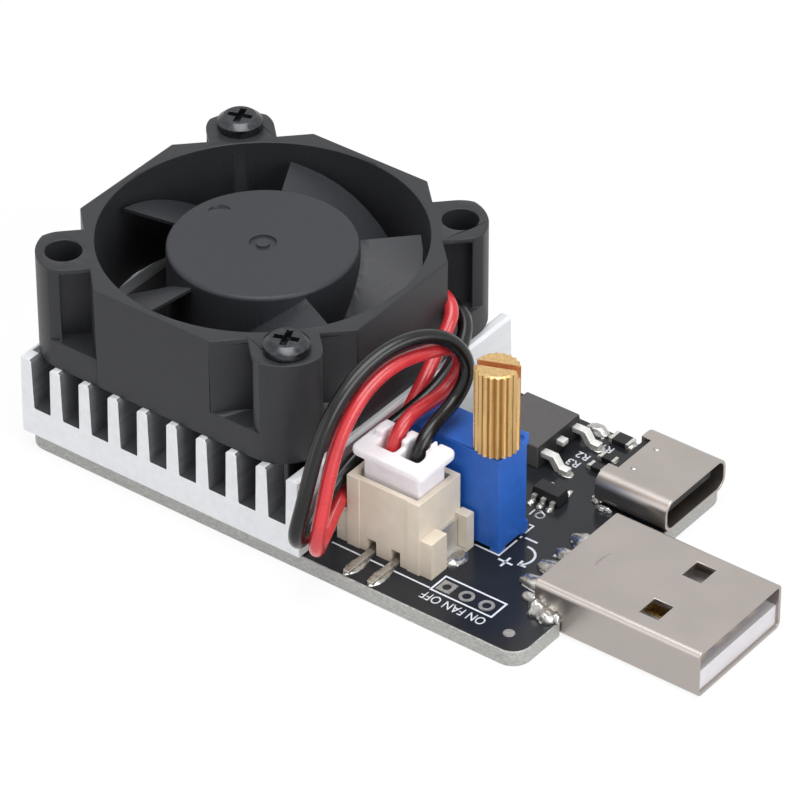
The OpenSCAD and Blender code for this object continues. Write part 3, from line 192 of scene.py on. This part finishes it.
# Fan leads.
# Two thin stranded wires in smooth vinyl, red and black, moulded into the fan's corner pocket.
# They drop in front of the heat sink, turn up in a loose loop and end in the white plug.
def linear(red, green, blue):
    """A colour written in screen values from 0 to 255, as the shader needs it."""
    def one(value):
        value = value / 255.0
        return value / 12.92 if value <= 0.04045 else ((value + 0.055) / 1.055) ** 2.4
    return (one(red), one(green), one(blue), 1.0)


def finish_of(name, colour, roughness, metallic=0.0, cell=0.8, stretch=(1, 1, 1), shade=0.10,
              spread=0.06, bump=0.0, coat=0.0, specular=0.5):
    """A surface with fine mottling in its colour, gloss and relief. cell is the mottle's size in mm."""
    material = bpy.data.materials.new(name)
    material.use_nodes = True
    nodes, links = material.node_tree.nodes, material.node_tree.links
    shader = nodes["Principled BSDF"]
    shader.inputs["Metallic"].default_value = metallic
    shader.inputs["Specular IOR Level"].default_value = specular
    shader.inputs["Coat Weight"].default_value = coat
    shader.inputs["Coat Roughness"].default_value = 0.08
    coordinates = nodes.new("ShaderNodeTexCoord")
    mapping = nodes.new("ShaderNodeMapping")
    mapping.inputs["Scale"].default_value = stretch
    links.new(coordinates.outputs["Object"], mapping.inputs["Vector"])
    mottle = nodes.new("ShaderNodeTexNoise")
    mottle.inputs["Scale"].default_value = 1.0 / (cell * MM)
    mottle.inputs["Detail"].default_value = 5.0
    links.new(mapping.outputs["Vector"], mottle.inputs["Vector"])
    tone = nodes.new("ShaderNodeValToRGB")
    tone.color_ramp.elements[0].position = 0.3
    tone.color_ramp.elements[1].position = 0.7
    tone.color_ramp.elements[0].color = tuple(c * (1 - shade) for c in colour[:3]) + (1.0,)
    tone.color_ramp.elements[1].color = tuple(min(1.0, c * (1 + shade)) for c in colour[:3]) + (1.0,)
    links.new(mottle.outputs["Fac"], tone.inputs["Fac"])
    links.new(tone.outputs["Color"], shader.inputs["Base Color"])
    gloss = nodes.new("ShaderNodeMapRange")
    gloss.inputs["From Min"].default_value = 0.3
    gloss.inputs["From Max"].default_value = 0.7
    gloss.inputs["To Min"].default_value = max(0.02, roughness - spread)
    gloss.inputs["To Max"].default_value = min(1.0, roughness + spread)
    links.new(mottle.outputs["Fac"], gloss.inputs["Value"])
    links.new(gloss.outputs["Result"], shader.inputs["Roughness"])
    if bump:
        relief = nodes.new("ShaderNodeBump")
        relief.inputs["Strength"].default_value = 1.0
        relief.inputs["Distance"].default_value = bump * MM
        links.new(mottle.outputs["Fac"], relief.inputs["Height"])
        links.new(relief.outputs["Normal"], shader.inputs["Normal"])
    return material


def dress(node, material):
    """Gives a carried-over solid its finish."""
    slots = frame["nodes"][node].data.materials
    slots.clear()
    slots.append(material)


lead_d = 1.3 * MM
red_route = [
    (1.6, 7.2, 15.2), (2.6, 6.9, 15.3), (3.7, 6.3, 15.0), (4.2, 5.3, 14.2), (4.3, 4.0, 13.2),
    (4.5, 2.6, 12.2), (4.8, 0.9, 11.1), (4.8, -1.5, 8.9), (4.8, -4.0, 7.6), (4.8, -6.6, 6.9),
    (4.9, -9.2, 6.5), (5.1, -11.4, 6.0), (5.6, -13.3, 4.9), (6.1, -15.2, 4.2), (7.0, -16.9, 4.6),
    (7.7, -17.9, 6.3),
    (7.8, -17.4, 8.4), (7.5, -16.1, 11.2), (7.1, -14.2, 14.2), (7.2, -11.8, 16.9), (7.5, -8.9, 18.4),
    (8.1, -6.2, 18.7), (8.7, -4.2, 18.4), (9.0, -2.4, 18.0), (9.2, -0.6, 17.2), (9.3, 0.2, 15.4),
    (9.0, -0.6, 13.6), (8.7, -2.4, 12.8), (8.5, -4.2, 12.9), (8.35, -6.0, 12.8), (8.35, -7.7, 12.0),
    (8.35, -8.6, 10.3), (8.35, -8.6, 8.2),
]
black_route = [
    (0.8, 8.1, 13.8), (2.8, 8.1, 13.9), (4.2, 7.5, 13.5), (5.1, 6.2, 12.9), (5.8, 4.4, 12.2),
    (6.3, 2.0, 11.6), (6.3, -0.6, 10.9), (5.9, -2.8, 10.3), (5.5, -5.2, 9.8), (5.1, -7.6, 9.2),
    (4.9, -9.9, 8.4), (4.8, -12.1, 7.4), (5.0, -14.3, 6.0), (5.3, -16.2, 5.2), (6.0, -18.2, 5.8),
    (6.5, -19.2, 7.5),
    (6.7, -18.6, 9.3), (6.6, -17.4, 11.8), (6.4, -15.9, 14.5), (6.4, -13.7, 17.2), (6.7, -10.9, 19.2),
    (7.4, -7.7, 20.3), (8.4, -5.0, 20.4), (9.5, -3.0, 19.8), (10.5, -1.8, 18.4), (11.0, -1.2, 16.5),
    (10.9, -1.7, 14.7), (10.7, -3.1, 13.4), (10.7, -4.9, 13.0), (10.85, -6.5, 12.7), (10.85, -8.0, 11.7),
    (10.85, -8.6, 10.1), (10.85, -8.6, 8.2),
]
red_vinyl = finish_of("red_vinyl", linear(198, 50, 56), 0.26, cell=2.5, shade=0.12, bump=0.012, coat=0.2)
black_vinyl = finish_of("black_vinyl", linear(17, 17, 19), 0.26, cell=2.5, shade=0.20, bump=0.012, coat=0.2,
                        specular=0.3)
for lead_name, lead_node, route, vinyl, lead_length in (
    ("red_fan_lead", "lead_red", red_route, red_vinyl, 0.070),
    ("black_fan_lead", "lead_black", black_route, black_vinyl, 0.0725),
):
    wire = bpy.data.curves.new(lead_name, "CURVE")
    wire.dimensions = "3D"
    wire.bevel_depth = lead_d / 2
    wire.bevel_resolution = 5
    wire.use_fill_caps = True
    strand = wire.splines.new("NURBS")
    strand.points.add(len(route) - 1)
    for point, place in zip(strand.points, route):
        point.co = (place[0] * MM, place[1] * MM, place[2] * MM, 1.0)
    strand.order_u = 4
    strand.use_endpoint_u = True
    strand.resolution_u = 6
    strand.use_smooth = True
    wire.materials.append(vinyl)
    lead = bpy.data.objects.new(lead_name, wire)
    bpy.context.scene.collection.objects.link(lead)
    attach(lead, "load_board")
    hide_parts(lead_node)


# Board.
# An aluminium core with a bare milled edge, under a thin circuit layer and a glossy black mask.
# The jumper's three tinned pads lie on the mask.
def eased(name, node, materials, edge, segments=2, sharp=32.0, second=None, quads=False):
    """A piece made from a solid's own shape, with its hard edges rounded as the real one's are.
    second tells from a face's middle, in mm, and direction which of the finishes it takes.
    quads keeps the faces of a much divided solid small, and leaves its inner and shortest edges sharp."""
    weld, flat = 0.002 * MM, math.radians(0.5)
    shape = bmesh.new()
    shape.from_mesh(frame["nodes"][node].data)
    bmesh.ops.remove_doubles(shape, verts=shape.verts, dist=weld)
    short = set()
    if quads:
        bmesh.ops.join_triangles(shape, faces=shape.faces, angle_face_threshold=flat,
                                 angle_shape_threshold=math.radians(60))
        short = {v for e in shape.edges if e.calc_length() < 1.2 * edge * MM for v in e.verts}
    else:
        bmesh.ops.dissolve_limit(shape, angle_limit=flat, verts=shape.verts, edges=shape.edges)
    hard = [e for e in shape.edges if len(e.link_faces) == 2 and e.calc_face_angle() > math.radians(sharp)
            and not (quads and (not e.is_convex or short.intersection(e.verts)))]
    bmesh.ops.bevel(shape, geom=hard, offset=edge * MM, offset_type="OFFSET", affect="EDGES",
                    segments=segments, profile=0.5, material=-1, clamp_overlap=not quads)
    if second:
        shape.normal_update()
        for face in shape.faces:
            face.material_index = int(second(face.calc_center_median() / MM, face.normal))
    mesh = bpy.data.meshes.new(name)
    shape.to_mesh(mesh)
    shape.free()
    mesh.shade_smooth()
    mesh.set_sharp_from_angle(angle=math.radians(50))
    for material in materials:
        mesh.materials.append(material)
    piece = bpy.data.objects.new(name, mesh)
    bpy.context.scene.collection.objects.link(piece)
    flatten = piece.modifiers.new("flat_faces_stay_flat", "WEIGHTED_NORMAL")
    flatten.mode = "FACE_AREA"
    flatten.weight = 100
    flatten.keep_sharp = True
    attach(piece, frame["nodes"][node]["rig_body"])
    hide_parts(node)
    return piece


board_top = 1.6
board_edge = finish_of("board_edge", linear(168, 168, 165), 0.5, metallic=0.35, cell=0.07,
                       stretch=(0.25, 0.25, 1), shade=0.34, spread=0.15, bump=0.010)
mask_black = finish_of("mask_black", linear(36, 38, 42), 0.20, cell=5.0, shade=0.14, spread=0.05,
                       specular=0.28)
tinned = finish_of("tinned", linear(206, 204, 199), 0.36, metallic=0.7, cell=0.5, shade=0.10, spread=0.08,
                   bump=0.004)
eased("board_plate", "board_core", [board_edge], edge=0.10)
dress("board_mask", mask_black)
pad_tin = finish_of("pad_tin", linear(158, 157, 154), 0.42, metallic=0.5, cell=0.3, shade=0.2, spread=0.1)
dress("jumper_pads", pad_tin)


# Printed legend.
# White ink on the mask: the jumper's box and its three words, the header's and the trimmer's outlines,
# the turning arrow with plus and minus, and a few plain part numbers. One bare copper spot lies beside it.
def ribbon(shape, points, width, closed=False):
    """A flat printed line through these points, in mm, mitred at its corners."""
    count = len(points)
    sides = []
    for i, here in enumerate(points):
        before = points[i - 1] if i or closed else None
        after = points[(i + 1) % count] if i + 1 < count or closed else None
        here = Vector(here)
        into = (here - Vector(before)).normalized() if before else None
        out = (Vector(after) - here).normalized() if after else None
        along = ((into or out) + (out or into)).normalized()
        across = Vector((-along.y, along.x))
        reach = width / 2 / max(0.4, along.dot(out or into))
        sides.append([
            shape.verts.new((
                (here.x + s * across.x * reach) * MM,
                (here.y + s * across.y * reach) * MM,
                ink_z,
            ))
            for s in (1, -1)
        ])
    for i in range(count if closed else count - 1):
        a, b = sides[i], sides[(i + 1) % count]
        shape.faces.new((a[0], a[1], b[1], b[0]))


def lettered(shape, words, height, place, turn, weight, narrow=1.0):
    """Plain capitals as a flat mesh. height is that of a capital, in mm, and turn is in degrees."""
    letters = bpy.data.curves.new(words, "FONT")
    letters.body = words
    letters.align_x = "CENTER"
    letters.align_y = "CENTER"
    letters.offset = weight
    letters.resolution_u = 4
    holder = bpy.data.objects.new(words, letters)
    bpy.context.scene.collection.objects.link(holder)
    bpy.context.view_layer.update()
    flat = bpy.data.meshes.new_from_object(holder)
    bpy.data.objects.remove(holder)
    size = height / capital_share
    flat.transform(Matrix.Translation((place[0] * MM, place[1] * MM, ink_z))
                   @ Matrix.Rotation(math.radians(turn), 4, "Z")
                   @ Matrix.Diagonal((size * narrow * MM, size * MM, MM, 1.0)))
    shape.from_mesh(flat)
    bpy.data.meshes.remove(flat)


capital_share = 0.73
ink_z = (board_top + 0.012) * MM
ink_depth = 0.006 * MM
fine_line, bold_line = 0.17, 0.22
arrow_x, arrow_y, arrow_r = 18.35, -3.92, 1.33
jumper_box = [(15.2, -12.1), (21.45, -12.1), (21.45, -9.95), (15.2, -9.95)]
header_front = [(4.75, -11.95), (15.05, -12.0)]
trimmer_outline = (
    [(14.5, -5.0), (17.0, -5.0), (17.0, -2.4)],
    [(17.0, -1.98), (17.0, -1.72)],
    [(16.95, -1.2), (16.95, 0.0), (16.5, 0.0)],
)
arrow_bow = [
    (arrow_x + arrow_r * math.cos(math.radians(a)), arrow_y + arrow_r * math.sin(math.radians(a)))
    for a in range(-56, 97, 8)
]
arrow_head = [(19.75, -4.94), (19.08, -5.02), (19.06, -4.4)]
plus_across, plus_down = [(17.25, -5.4), (18.7, -5.4)], [(17.98, -6.1), (17.98, -4.7)]
minus = [(17.35, -1.7), (18.6, -1.7)]
legend_shape = bmesh.new()
ribbon(legend_shape, jumper_box, 0.18, closed=True)
ribbon(legend_shape, header_front, 0.16)
for outline_part in trimmer_outline:
    ribbon(legend_shape, outline_part, fine_line)
for arrow_part in (arrow_bow, arrow_head, plus_across, plus_down, minus):
    ribbon(legend_shape, arrow_part, bold_line)
lettered(legend_shape, "ON FAN OFF", 1.02, (18.2, -12.97), 180, 0.006, narrow=0.80)
for mark, mark_place in (
    ("R1", (15.5, 12.7)), ("R2", (14.5, 10.6)), ("R3", (14.4, 9.3)), ("Q1", (16.2, 1.6)),
):
    lettered(legend_shape, mark, 0.9, mark_place, 180, 0.015)
ink_rise = bmesh.ops.extrude_face_region(legend_shape, geom=legend_shape.faces[:])["geom"]
bmesh.ops.translate(legend_shape, vec=(0, 0, ink_depth),
                    verts=[v for v in ink_rise if isinstance(v, bmesh.types.BMVert)])
bmesh.ops.recalc_face_normals(legend_shape, faces=legend_shape.faces)
legend_mesh = bpy.data.meshes.new("printed_legend")
legend_shape.to_mesh(legend_mesh)
legend_shape.free()
white_ink = finish_of("white_ink", linear(214, 218, 226), 0.55, cell=0.25, shade=0.12, spread=0.08,
                      bump=0.004)
legend_mesh.materials.append(white_ink)
legend = bpy.data.objects.new("printed_legend", legend_mesh)
bpy.context.scene.collection.objects.link(legend)
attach(legend, "load_board")

spot_x, spot_y = 23.86, -12.9
spot_shape = bmesh.new()
bmesh.ops.create_cone(spot_shape, cap_ends=True, segments=32, radius1=0.52 * MM, radius2=0.50 * MM,
                      depth=0.02 * MM, matrix=Matrix.Translation((spot_x * MM, spot_y * MM, ink_z)))
spot_mesh = bpy.data.meshes.new("copper_spot")
spot_shape.to_mesh(spot_mesh)
spot_shape.free()
spot_mesh.materials.append(pad_tin)
copper_spot = bpy.data.objects.new("copper_spot", spot_mesh)
bpy.context.scene.collection.objects.link(copper_spot)
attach(copper_spot, "load_board")

# Heat sink.
# One length of extruded aluminium, saw-cut bright at its ends, set on a thin white bond layer.
# The faces between the fins and the fin tops under the fan carry painted shade, and the floors between the
# fins a darker painted shade.
sink_satin = finish_of("sink_satin", linear(226, 228, 231), 0.42, metallic=0.35, cell=0.7,
                       stretch=(1, 0.06, 1), shade=0.04, spread=0.08, bump=0.004)
# The next two finishes are painted shade: one for the fins' sides and the fin tops under the fan, a darker
# one for the floors between the fins.
sink_painted_shade = finish_of("sink_painted_shade", linear(112, 113, 115), 0.7, metallic=0.2, cell=0.5,
                      stretch=(1, 0.05, 1), shade=0.15, spread=0.08, bump=0.004, specular=0.2)
sink_painted_deep_shade = finish_of("sink_painted_deep_shade", linear(74, 75, 77), 0.7, metallic=0.2, cell=0.5,
                      stretch=(1, 0.05, 1), shade=0.15, spread=0.08, bump=0.004, specular=0.2)
bond_white = finish_of("bond_white", linear(225, 225, 220), 0.7, cell=0.5, shade=0.08, bump=0.02)
first_gap_x, last_gap_x, last_side_x = -25.9, 2.9, 3.5
half_fin_z, fin_top_z = 7.0, 9.55
left_chamfer_x, left_chamfer_z = -25.86, 9.25
fan_cover = 14.2


def painted_shade_between_fins(middle, direction):
    """Painted shade on the fins' sides and on the fin tops under the fan, darker painted shade on the
    floors between fins, and satin elsewhere.
    """
    if abs(direction.x) > 0.7 and first_gap_x < middle.x < last_side_x:
        return 1
    if direction.z > 0.7 and first_gap_x < middle.x < last_gap_x and middle.z > board_top + 0.4:
        return 2 if middle.z < half_fin_z else int(abs(middle.y) < fan_cover)
    return 0


finned_sink = eased("finned_sink", "heat_sink", [sink_satin, sink_painted_shade, sink_painted_deep_shade], edge=0.08)
sink_shape = bmesh.new()
sink_shape.from_mesh(finned_sink.data)
for cover_y in (-fan_cover, fan_cover):
    bmesh.ops.bisect_plane(sink_shape, geom=sink_shape.verts[:] + sink_shape.edges[:] + sink_shape.faces[:],
                           plane_co=(0, cover_y * MM, 0), plane_no=(0, 1, 0))
# The leftmost fin's top is squared off, because light came into the duct past its chamfer.
for sink_vert in sink_shape.verts:
    if sink_vert.co.x < left_chamfer_x * MM and sink_vert.co.z > left_chamfer_z * MM:
        sink_vert.co.z = fin_top_z * MM
# Faces in the gaps between the fins and under the fan take the painted shade finishes.
for sink_face in sink_shape.faces:
    sink_face.material_index = painted_shade_between_fins(sink_face.calc_center_median() / MM, sink_face.normal)
sink_shape.to_mesh(finned_sink.data)
sink_shape.free()
dress("bond_layer", bond_white)

# Fan frame.
# Glass-filled black plastic, moulded in one piece with its lugs, struts and bearing tube.
fan_black = finish_of("fan_black", linear(44, 45, 48), 0.44, cell=0.16, shade=0.14, spread=0.08,
                      bump=0.005, specular=0.3)
eased("fan_housing", "fan_frame", [fan_black], edge=0.10, quads=True)

# Fan motor.
# Steel, ferrite, bronze and copper pieces that sit under the hub, pressed on the bearing tube.
laminated = finish_of("laminated", linear(140, 140, 144), 0.4, metallic=1.0, cell=0.3,
                      stretch=(0.1, 0.1, 4), shade=0.2)
ferrite = finish_of("ferrite", linear(52, 48, 46), 0.7, cell=0.2, shade=0.2, bump=0.01)
sintered = finish_of("sintered", linear(168, 130, 78), 0.5, metallic=0.9, cell=0.1, shade=0.25, bump=0.01)
winding = finish_of("winding", linear(176, 96, 48), 0.3, metallic=0.8, cell=0.25, stretch=(1, 1, 6),
                    shade=0.3, bump=0.03)
nylon = finish_of("nylon", linear(228, 225, 212), 0.5, cell=0.6, shade=0.05, bump=0.004)
driver_green = finish_of("driver_green", linear(30, 96, 56), 0.3, cell=1.0, shade=0.15, coat=0.3)
bright_steel = finish_of("bright_steel", linear(190, 190, 192), 0.22, metallic=1.0, cell=0.3,
                         stretch=(1, 1, 0.1), shade=0.1)
for motor_node, motor_finish in (
    ("rotor_yoke", laminated), ("ring_magnet", ferrite), ("rotor_shaft", bright_steel),
    ("bearing_sleeve", sintered), ("thrust_washer", nylon), ("stator_core", laminated),
    ("stator_coils", winding), ("fan_driver_board", driver_green),
):
    dress(motor_node, motor_finish)

# Impeller.
# Satin black plastic: a hub cup with five twisted blades, moulded in one piece and pressed on the shaft.
impeller_black = finish_of("impeller_black", linear(46, 47, 51), 0.44, cell=0.2, shade=0.10, spread=0.06,
                           bump=0.003, specular=0.3)
eased("fan_impeller", "impeller", [impeller_black], edge=0.08, sharp=50.0)

# Fan screws.
# Glossy black pan-head screws with a cross recess, driven through opposite lugs into the fins.
black_oxide = finish_of("black_oxide", linear(66, 67, 70), 0.24, metallic=0.85, cell=0.4, shade=0.2,
                        spread=0.08, bump=0.006)
eased("black_screws", "fan_screws", [black_oxide], edge=0.12, segments=3)

# Fan header and plug.
# A beige nylon header, soldered by its two feet and end tabs, with a white nylon plug pushed in.
header_beige = finish_of("header_beige", linear(220, 209, 192), 0.5, cell=1.2, shade=0.04, spread=0.06,
                         bump=0.005)
plug_white = finish_of("plug_white", linear(243, 239, 244), 0.42, cell=1.2, shade=0.03, spread=0.06,
                       bump=0.005)
eased("fan_header", "header_housing", [header_beige], edge=0.10)
plug_shader = plug_white.node_tree.nodes["Principled BSDF"]
plug_shader.inputs["Subsurface Weight"].default_value = 0.5
plug_shader.inputs["Subsurface Radius"].default_value = (1.0, 0.95, 1.0)
plug_shader.inputs["Subsurface Scale"].default_value = 0.8 * MM
fan_plug = eased("fan_plug", "plug_housing", [plug_white], edge=0.10)
fan_plug.modifiers.clear()
fan_plug_skin = fan_plug.modifiers.new("even_skin", "REMESH")
fan_plug_skin.mode = "VOXEL"
fan_plug_skin.voxel_size = 0.1 * MM
fan_plug_skin.use_smooth_shade = True
fan_plug_melt = fan_plug.modifiers.new("soft_corners", "SMOOTH")
fan_plug_melt.factor = 0.5
fan_plug_melt.iterations = 16
foot_tin = finish_of("foot_tin", linear(176, 172, 164), 0.34, metallic=0.8, cell=0.4, shade=0.2, spread=0.1,
                     bump=0.006)
eased("header_feet", "header_pins", [foot_tin], edge=0.06)
dress("header_tabs", tinned)
dress("plug_contacts", tinned)

# Trimmer.
# A blue moulded housing with a brass adjuster screw at its corner and a knurled brass knob.
# The worm on the screw turns a toothed wheel that carries the wiper over a ceramic element.
trimmer_blue = finish_of("trimmer_blue", linear(42, 100, 192), 0.42, cell=0.8, shade=0.08, spread=0.08,
                         bump=0.005, specular=0.35)
ceramic = finish_of("ceramic", linear(228, 226, 214), 0.6, cell=0.4, shade=0.06, bump=0.006)
brass = finish_of("brass", linear(210, 176, 122), 0.32, metallic=0.9, cell=0.3, stretch=(1, 1, 0.12),
                  shade=0.12, spread=0.10, bump=0.006)
worn_brass = finish_of("worn_brass", linear(196, 128, 78), 0.5, metallic=0.2, cell=0.2, shade=0.12,
                       bump=0.004)
# A darker brass for the knob's grooves: painted shade in the hollows between its ridges.
painted_groove_shade = finish_of("painted_groove_shade", linear(150, 108, 56), 0.42, metallic=0.9, cell=0.3, stretch=(1, 1, 0.12),
                    shade=0.15)
gold_flash = finish_of("gold_flash", linear(222, 184, 104), 0.24, metallic=1.0, cell=0.4, shade=0.10)
knob_low, knob_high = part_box("adjuster_knob")
knob_axis = (knob_low + knob_high) / 2 / MM
slot_turn = math.radians(22)
slot_half, slot_depth = 0.5, 1.2
knob_groove_r = (knob_high.x - knob_low.x) / 2 / MM - 0.10


def knob_finish(middle, direction):
    """Bare brass on the ridges and the top, worn brass in the screwdriver slot, darker brass as painted
    shade in the grooves.
    """
    from_axis = middle - knob_axis
    across = from_axis.y * math.cos(slot_turn) - from_axis.x * math.sin(slot_turn)
    facing = abs(direction.y * math.cos(slot_turn) - direction.x * math.sin(slot_turn))
    below = knob_high.z / MM - middle.z
    if abs(across) < slot_half and 0.12 < below < slot_depth and (direction.z > 0.7 or facing > 0.9):
        return 1
    reach = math.hypot(from_axis.x, from_axis.y)
    return 2 if reach < knob_groove_r and abs(direction.z) < 0.3 and 0.2 < below else 0


eased("trimmer_case", "trimmer_housing", [trimmer_blue], edge=0.12, quads=True)
eased("brass_knob", "adjuster_knob", [brass, worn_brass, painted_groove_shade], edge=0.04,
      second=knob_finish)
dress("adjuster_screw", brass)
dress("trimmer_element", ceramic)
dress("trimmer_pins", tinned)
dress("wiper_wheel", nylon)
dress("wiper_contact", gold_flash)

# Transistor, amplifier and resistors.
# Moulded epoxy bodies with tinned leads, soldered flat on the board.
transistor_lit_top = finish_of("transistor_lit_top", linear(84, 82, 83), 0.55, cell=0.2, shade=0.14, bump=0.006,
                            specular=0.3)
epoxy_black = finish_of("epoxy_black", linear(34, 34, 36), 0.5, cell=0.2, shade=0.2, bump=0.006,
                        specular=0.3)
# One black epoxy moulding: its top is painted a lighter grey as painted light, and its +X faces are left
# black.
eased("power_transistor", "transistor_body", [transistor_lit_top, epoxy_black], edge=0.22,
      second=lambda middle, direction: direction.x > 0.7)
bright_tin = finish_of("bright_tin", linear(228, 227, 224), 0.38, metallic=0.45, cell=0.5, shade=0.06,
                       spread=0.08)
eased("transistor_legs", "transistor_leads", [bright_tin], edge=0.06)
eased("amplifier", "amplifier_body", [epoxy_black], edge=0.08)
dress("transistor_tab", tinned)
dress("amplifier_leads", tinned)
dress("chip_bodies", epoxy_black)
dress("chip_terminals", tinned)
dress("shunt_body", epoxy_black)
dress("shunt_terminals", tinned)

# Socket.
# A drawn nickel-plated shell round a black tongue with gilded contacts.
# Two small dimples in its top hold it on the tongue.
nickel = finish_of("nickel", linear(175, 168, 163), 0.34, metallic=1.0, cell=3.0, shade=0.02, spread=0.03)
eased("socket_can", "socket_shell", [nickel], edge=0.06)
dress("socket_tongue", epoxy_black)
dress("socket_contacts", gold_flash)
dimple_x, dimple_z, dimple_r, dimple_flat = 21.39, 4.79, 0.30, 0.35
dimple_shape = bmesh.new()
for dimple_y in (8.27, 11.65):
    dimple = bmesh.ops.create_uvsphere(dimple_shape, u_segments=20, v_segments=10, radius=dimple_r * MM)
    for dimple_vert in dimple["verts"]:
        dimple_vert.co.z *= dimple_flat
        dimple_vert.co += Vector((dimple_x, dimple_y, dimple_z)) * MM
dimple_mesh = bpy.data.meshes.new("socket_dimples")
dimple_shape.to_mesh(dimple_mesh)
dimple_shape.free()
dimple_mesh.shade_smooth()
dimple_mesh.materials.append(nickel)
socket_dimples = bpy.data.objects.new("socket_dimples", dimple_mesh)
bpy.context.scene.collection.objects.link(socket_dimples)
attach(socket_dimples, "load_board")

# Plug.
# A folded nickel-plated shell over a white insulator with gilded contacts, tinned at their tails.
# A curved mark is pressed in the shell's top.
insulator_white = finish_of("insulator_white", linear(212, 209, 213), 0.45, cell=1.2, shade=0.03,
                            bump=0.004)
eased("plug_can", "usb_plug_shell", [nickel], edge=0.06)
mark_x, mark_y, mark_z, mark_bow = 26.2, -3.3, 4.49, 0.25
mark_half_width, mark_half_length, mark_height = 0.10, 1.15, 0.12
mark_shape = bmesh.new()
for mark_vert in bmesh.ops.create_uvsphere(mark_shape, u_segments=16, v_segments=24, radius=1.0)["verts"]:
    along = mark_vert.co.z
    mark_vert.co = Vector((
        mark_x + mark_half_width * mark_vert.co.x + mark_bow * along * along,
        mark_y + mark_half_length * along,
        mark_z + mark_height * mark_vert.co.y,
    )) * MM
bmesh.ops.recalc_face_normals(mark_shape, faces=mark_shape.faces)
mark_mesh = bpy.data.meshes.new("pressed_mark")
mark_shape.to_mesh(mark_mesh)
mark_shape.free()
mark_mesh.shade_smooth()
mark_mesh.materials.append(nickel)
pressed_mark = bpy.data.objects.new("pressed_mark", mark_mesh)
bpy.context.scene.collection.objects.link(pressed_mark)
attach(pressed_mark, "load_board")
dress("usb_plug_insulator", insulator_white)
gilded_contacts = eased("gilded_contacts", "usb_plug_contacts", [gold_flash, tinned], edge=0.04)
tail_end_x = 24.3
tail_shape = bmesh.new()
tail_shape.from_mesh(gilded_contacts.data)
bmesh.ops.bisect_plane(tail_shape, geom=tail_shape.verts[:] + tail_shape.edges[:] + tail_shape.faces[:],
                       plane_co=(tail_end_x * MM, 0, 0), plane_no=(1, 0, 0))
for tail_face in tail_shape.faces:
    tail_face.material_index = int(tail_face.calc_center_median().x < tail_end_x * MM)
tail_shape.to_mesh(gilded_contacts.data)
tail_shape.free()


# Solder joints.
# Hand-soldered tin: rough lumps that hold the plug's shell in its notch and cover its four tails,
# and smooth fillets at the header's feet and tabs, the transistor's legs and the small chips.
def lump(shape, place, reach, seed, rough):
    """A frozen drop of solder: a low uneven dome on the board. place and reach are in mm."""
    for vert in bmesh.ops.create_icosphere(shape, subdivisions=4, radius=1.0)["verts"]:
        way = vert.co.copy()
        swell = 1.0 + rough * noise.noise(way * 1.2 + Vector((seed, 0, 0))) \
            + 0.25 * rough * noise.noise(way * 3.0 + Vector((0, seed, 0)))
        flare = 1.0 + 0.10 * max(0.0, 0.5 - abs(way.z))
        vert.co = Vector((
            place[0] + way.x * reach[0] * swell * flare,
            place[1] + way.y * reach[1] * swell * flare,
            board_top - 0.02 + max(0.0, way.z) ** 0.7 * reach[2] * swell,
        )) * MM


solder = finish_of("solder", linear(178, 177, 174), 0.26, metallic=0.88, cell=0.4, shade=0.18,
                   spread=0.12, bump=0.014)
shell_shape = bmesh.new()
for solder_x, solder_y, solder_reach, solder_seed in (
    (24.0, -9.3, (0.75, 0.85, 1.3), 1),
    (25.05, -9.5, (0.95, 0.8, 0.95), 2),
    (25.9, -9.25, (0.5, 0.45, 0.7), 3),
    (22.9, -8.3, (1.1, 0.38, 0.75), 6),
    (24.2, 3.5, (0.9, 0.75, 1.2), 4),
    (25.4, 3.5, (0.9, 0.7, 0.9), 5),
):
    lump(shell_shape, (solder_x, solder_y), solder_reach, solder_seed, 0.22)
joint_shape = bmesh.new()
for tail, tail_y in enumerate((-6.5, -4.0, -2.0, 0.5)):
    lump(joint_shape, (22.35, tail_y), (1.75, 0.80, 1.06), 10 + tail, 0.20)
for foot, foot_x in enumerate((8.35, 10.85)):
    lump(joint_shape, (foot_x, -13.2), (0.66, 1.62, 0.26), 30 + foot, 0.12)
for side, tab_x in enumerate((4.75, 14.55)):
    lump(joint_shape, (tab_x, -7.6), (0.85, 1.25, 0.5), 40 + side, 0.25)
for leg, leg_y in enumerate((7.71, 12.29)):
    lump(joint_shape, (14.75, leg_y), (0.8, 0.55, 0.12), 50 + leg, 0.2)
lump(joint_shape, (13.5, 14.1), (1.15, 0.7, 0.75), 55, 0.2)
for end, (end_x, end_y) in enumerate((
    (14.85, 2.5), (15.8, 2.5), (16.75, 2.5), (14.85, 5.4), (16.75, 5.4),
)):
    lump(joint_shape, (end_x, end_y), (0.3, 0.42, 0.34), 60 + end, 0.25)
for end, (end_x, end_y, end_w) in enumerate((
    (15.05, 14.2, 0.6), (17.15, 14.2, 0.6), (15.85, 11.3, 0.4),
    (17.55, 11.3, 0.4), (15.85, 9.7, 0.4), (17.55, 9.7, 0.4),
)):
    lump(joint_shape, (end_x, end_y), (0.32, end_w, 0.36), 70 + end, 0.25)
lump(joint_shape, (19.1, 6.3), (0.55, 0.6, 0.5), 80, 0.35)
lump(joint_shape, (20.4, 5.35), (0.8, 0.3, 0.45), 81, 0.35)
for solder_name, solder_shape, solder_node in (
    ("shell_solder", shell_shape, "solder_fillets"), ("joint_solder", joint_shape, None),
):
    solder_mesh = bpy.data.meshes.new(solder_name)
    solder_shape.to_mesh(solder_mesh)
    solder_shape.free()
    solder_mesh.shade_smooth()
    solder_mesh.materials.append(solder)
    solder_piece = bpy.data.objects.new(solder_name, solder_mesh)
    bpy.context.scene.collection.objects.link(solder_piece)
    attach(solder_piece, "load_board")
    if solder_node:
        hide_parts(solder_node)
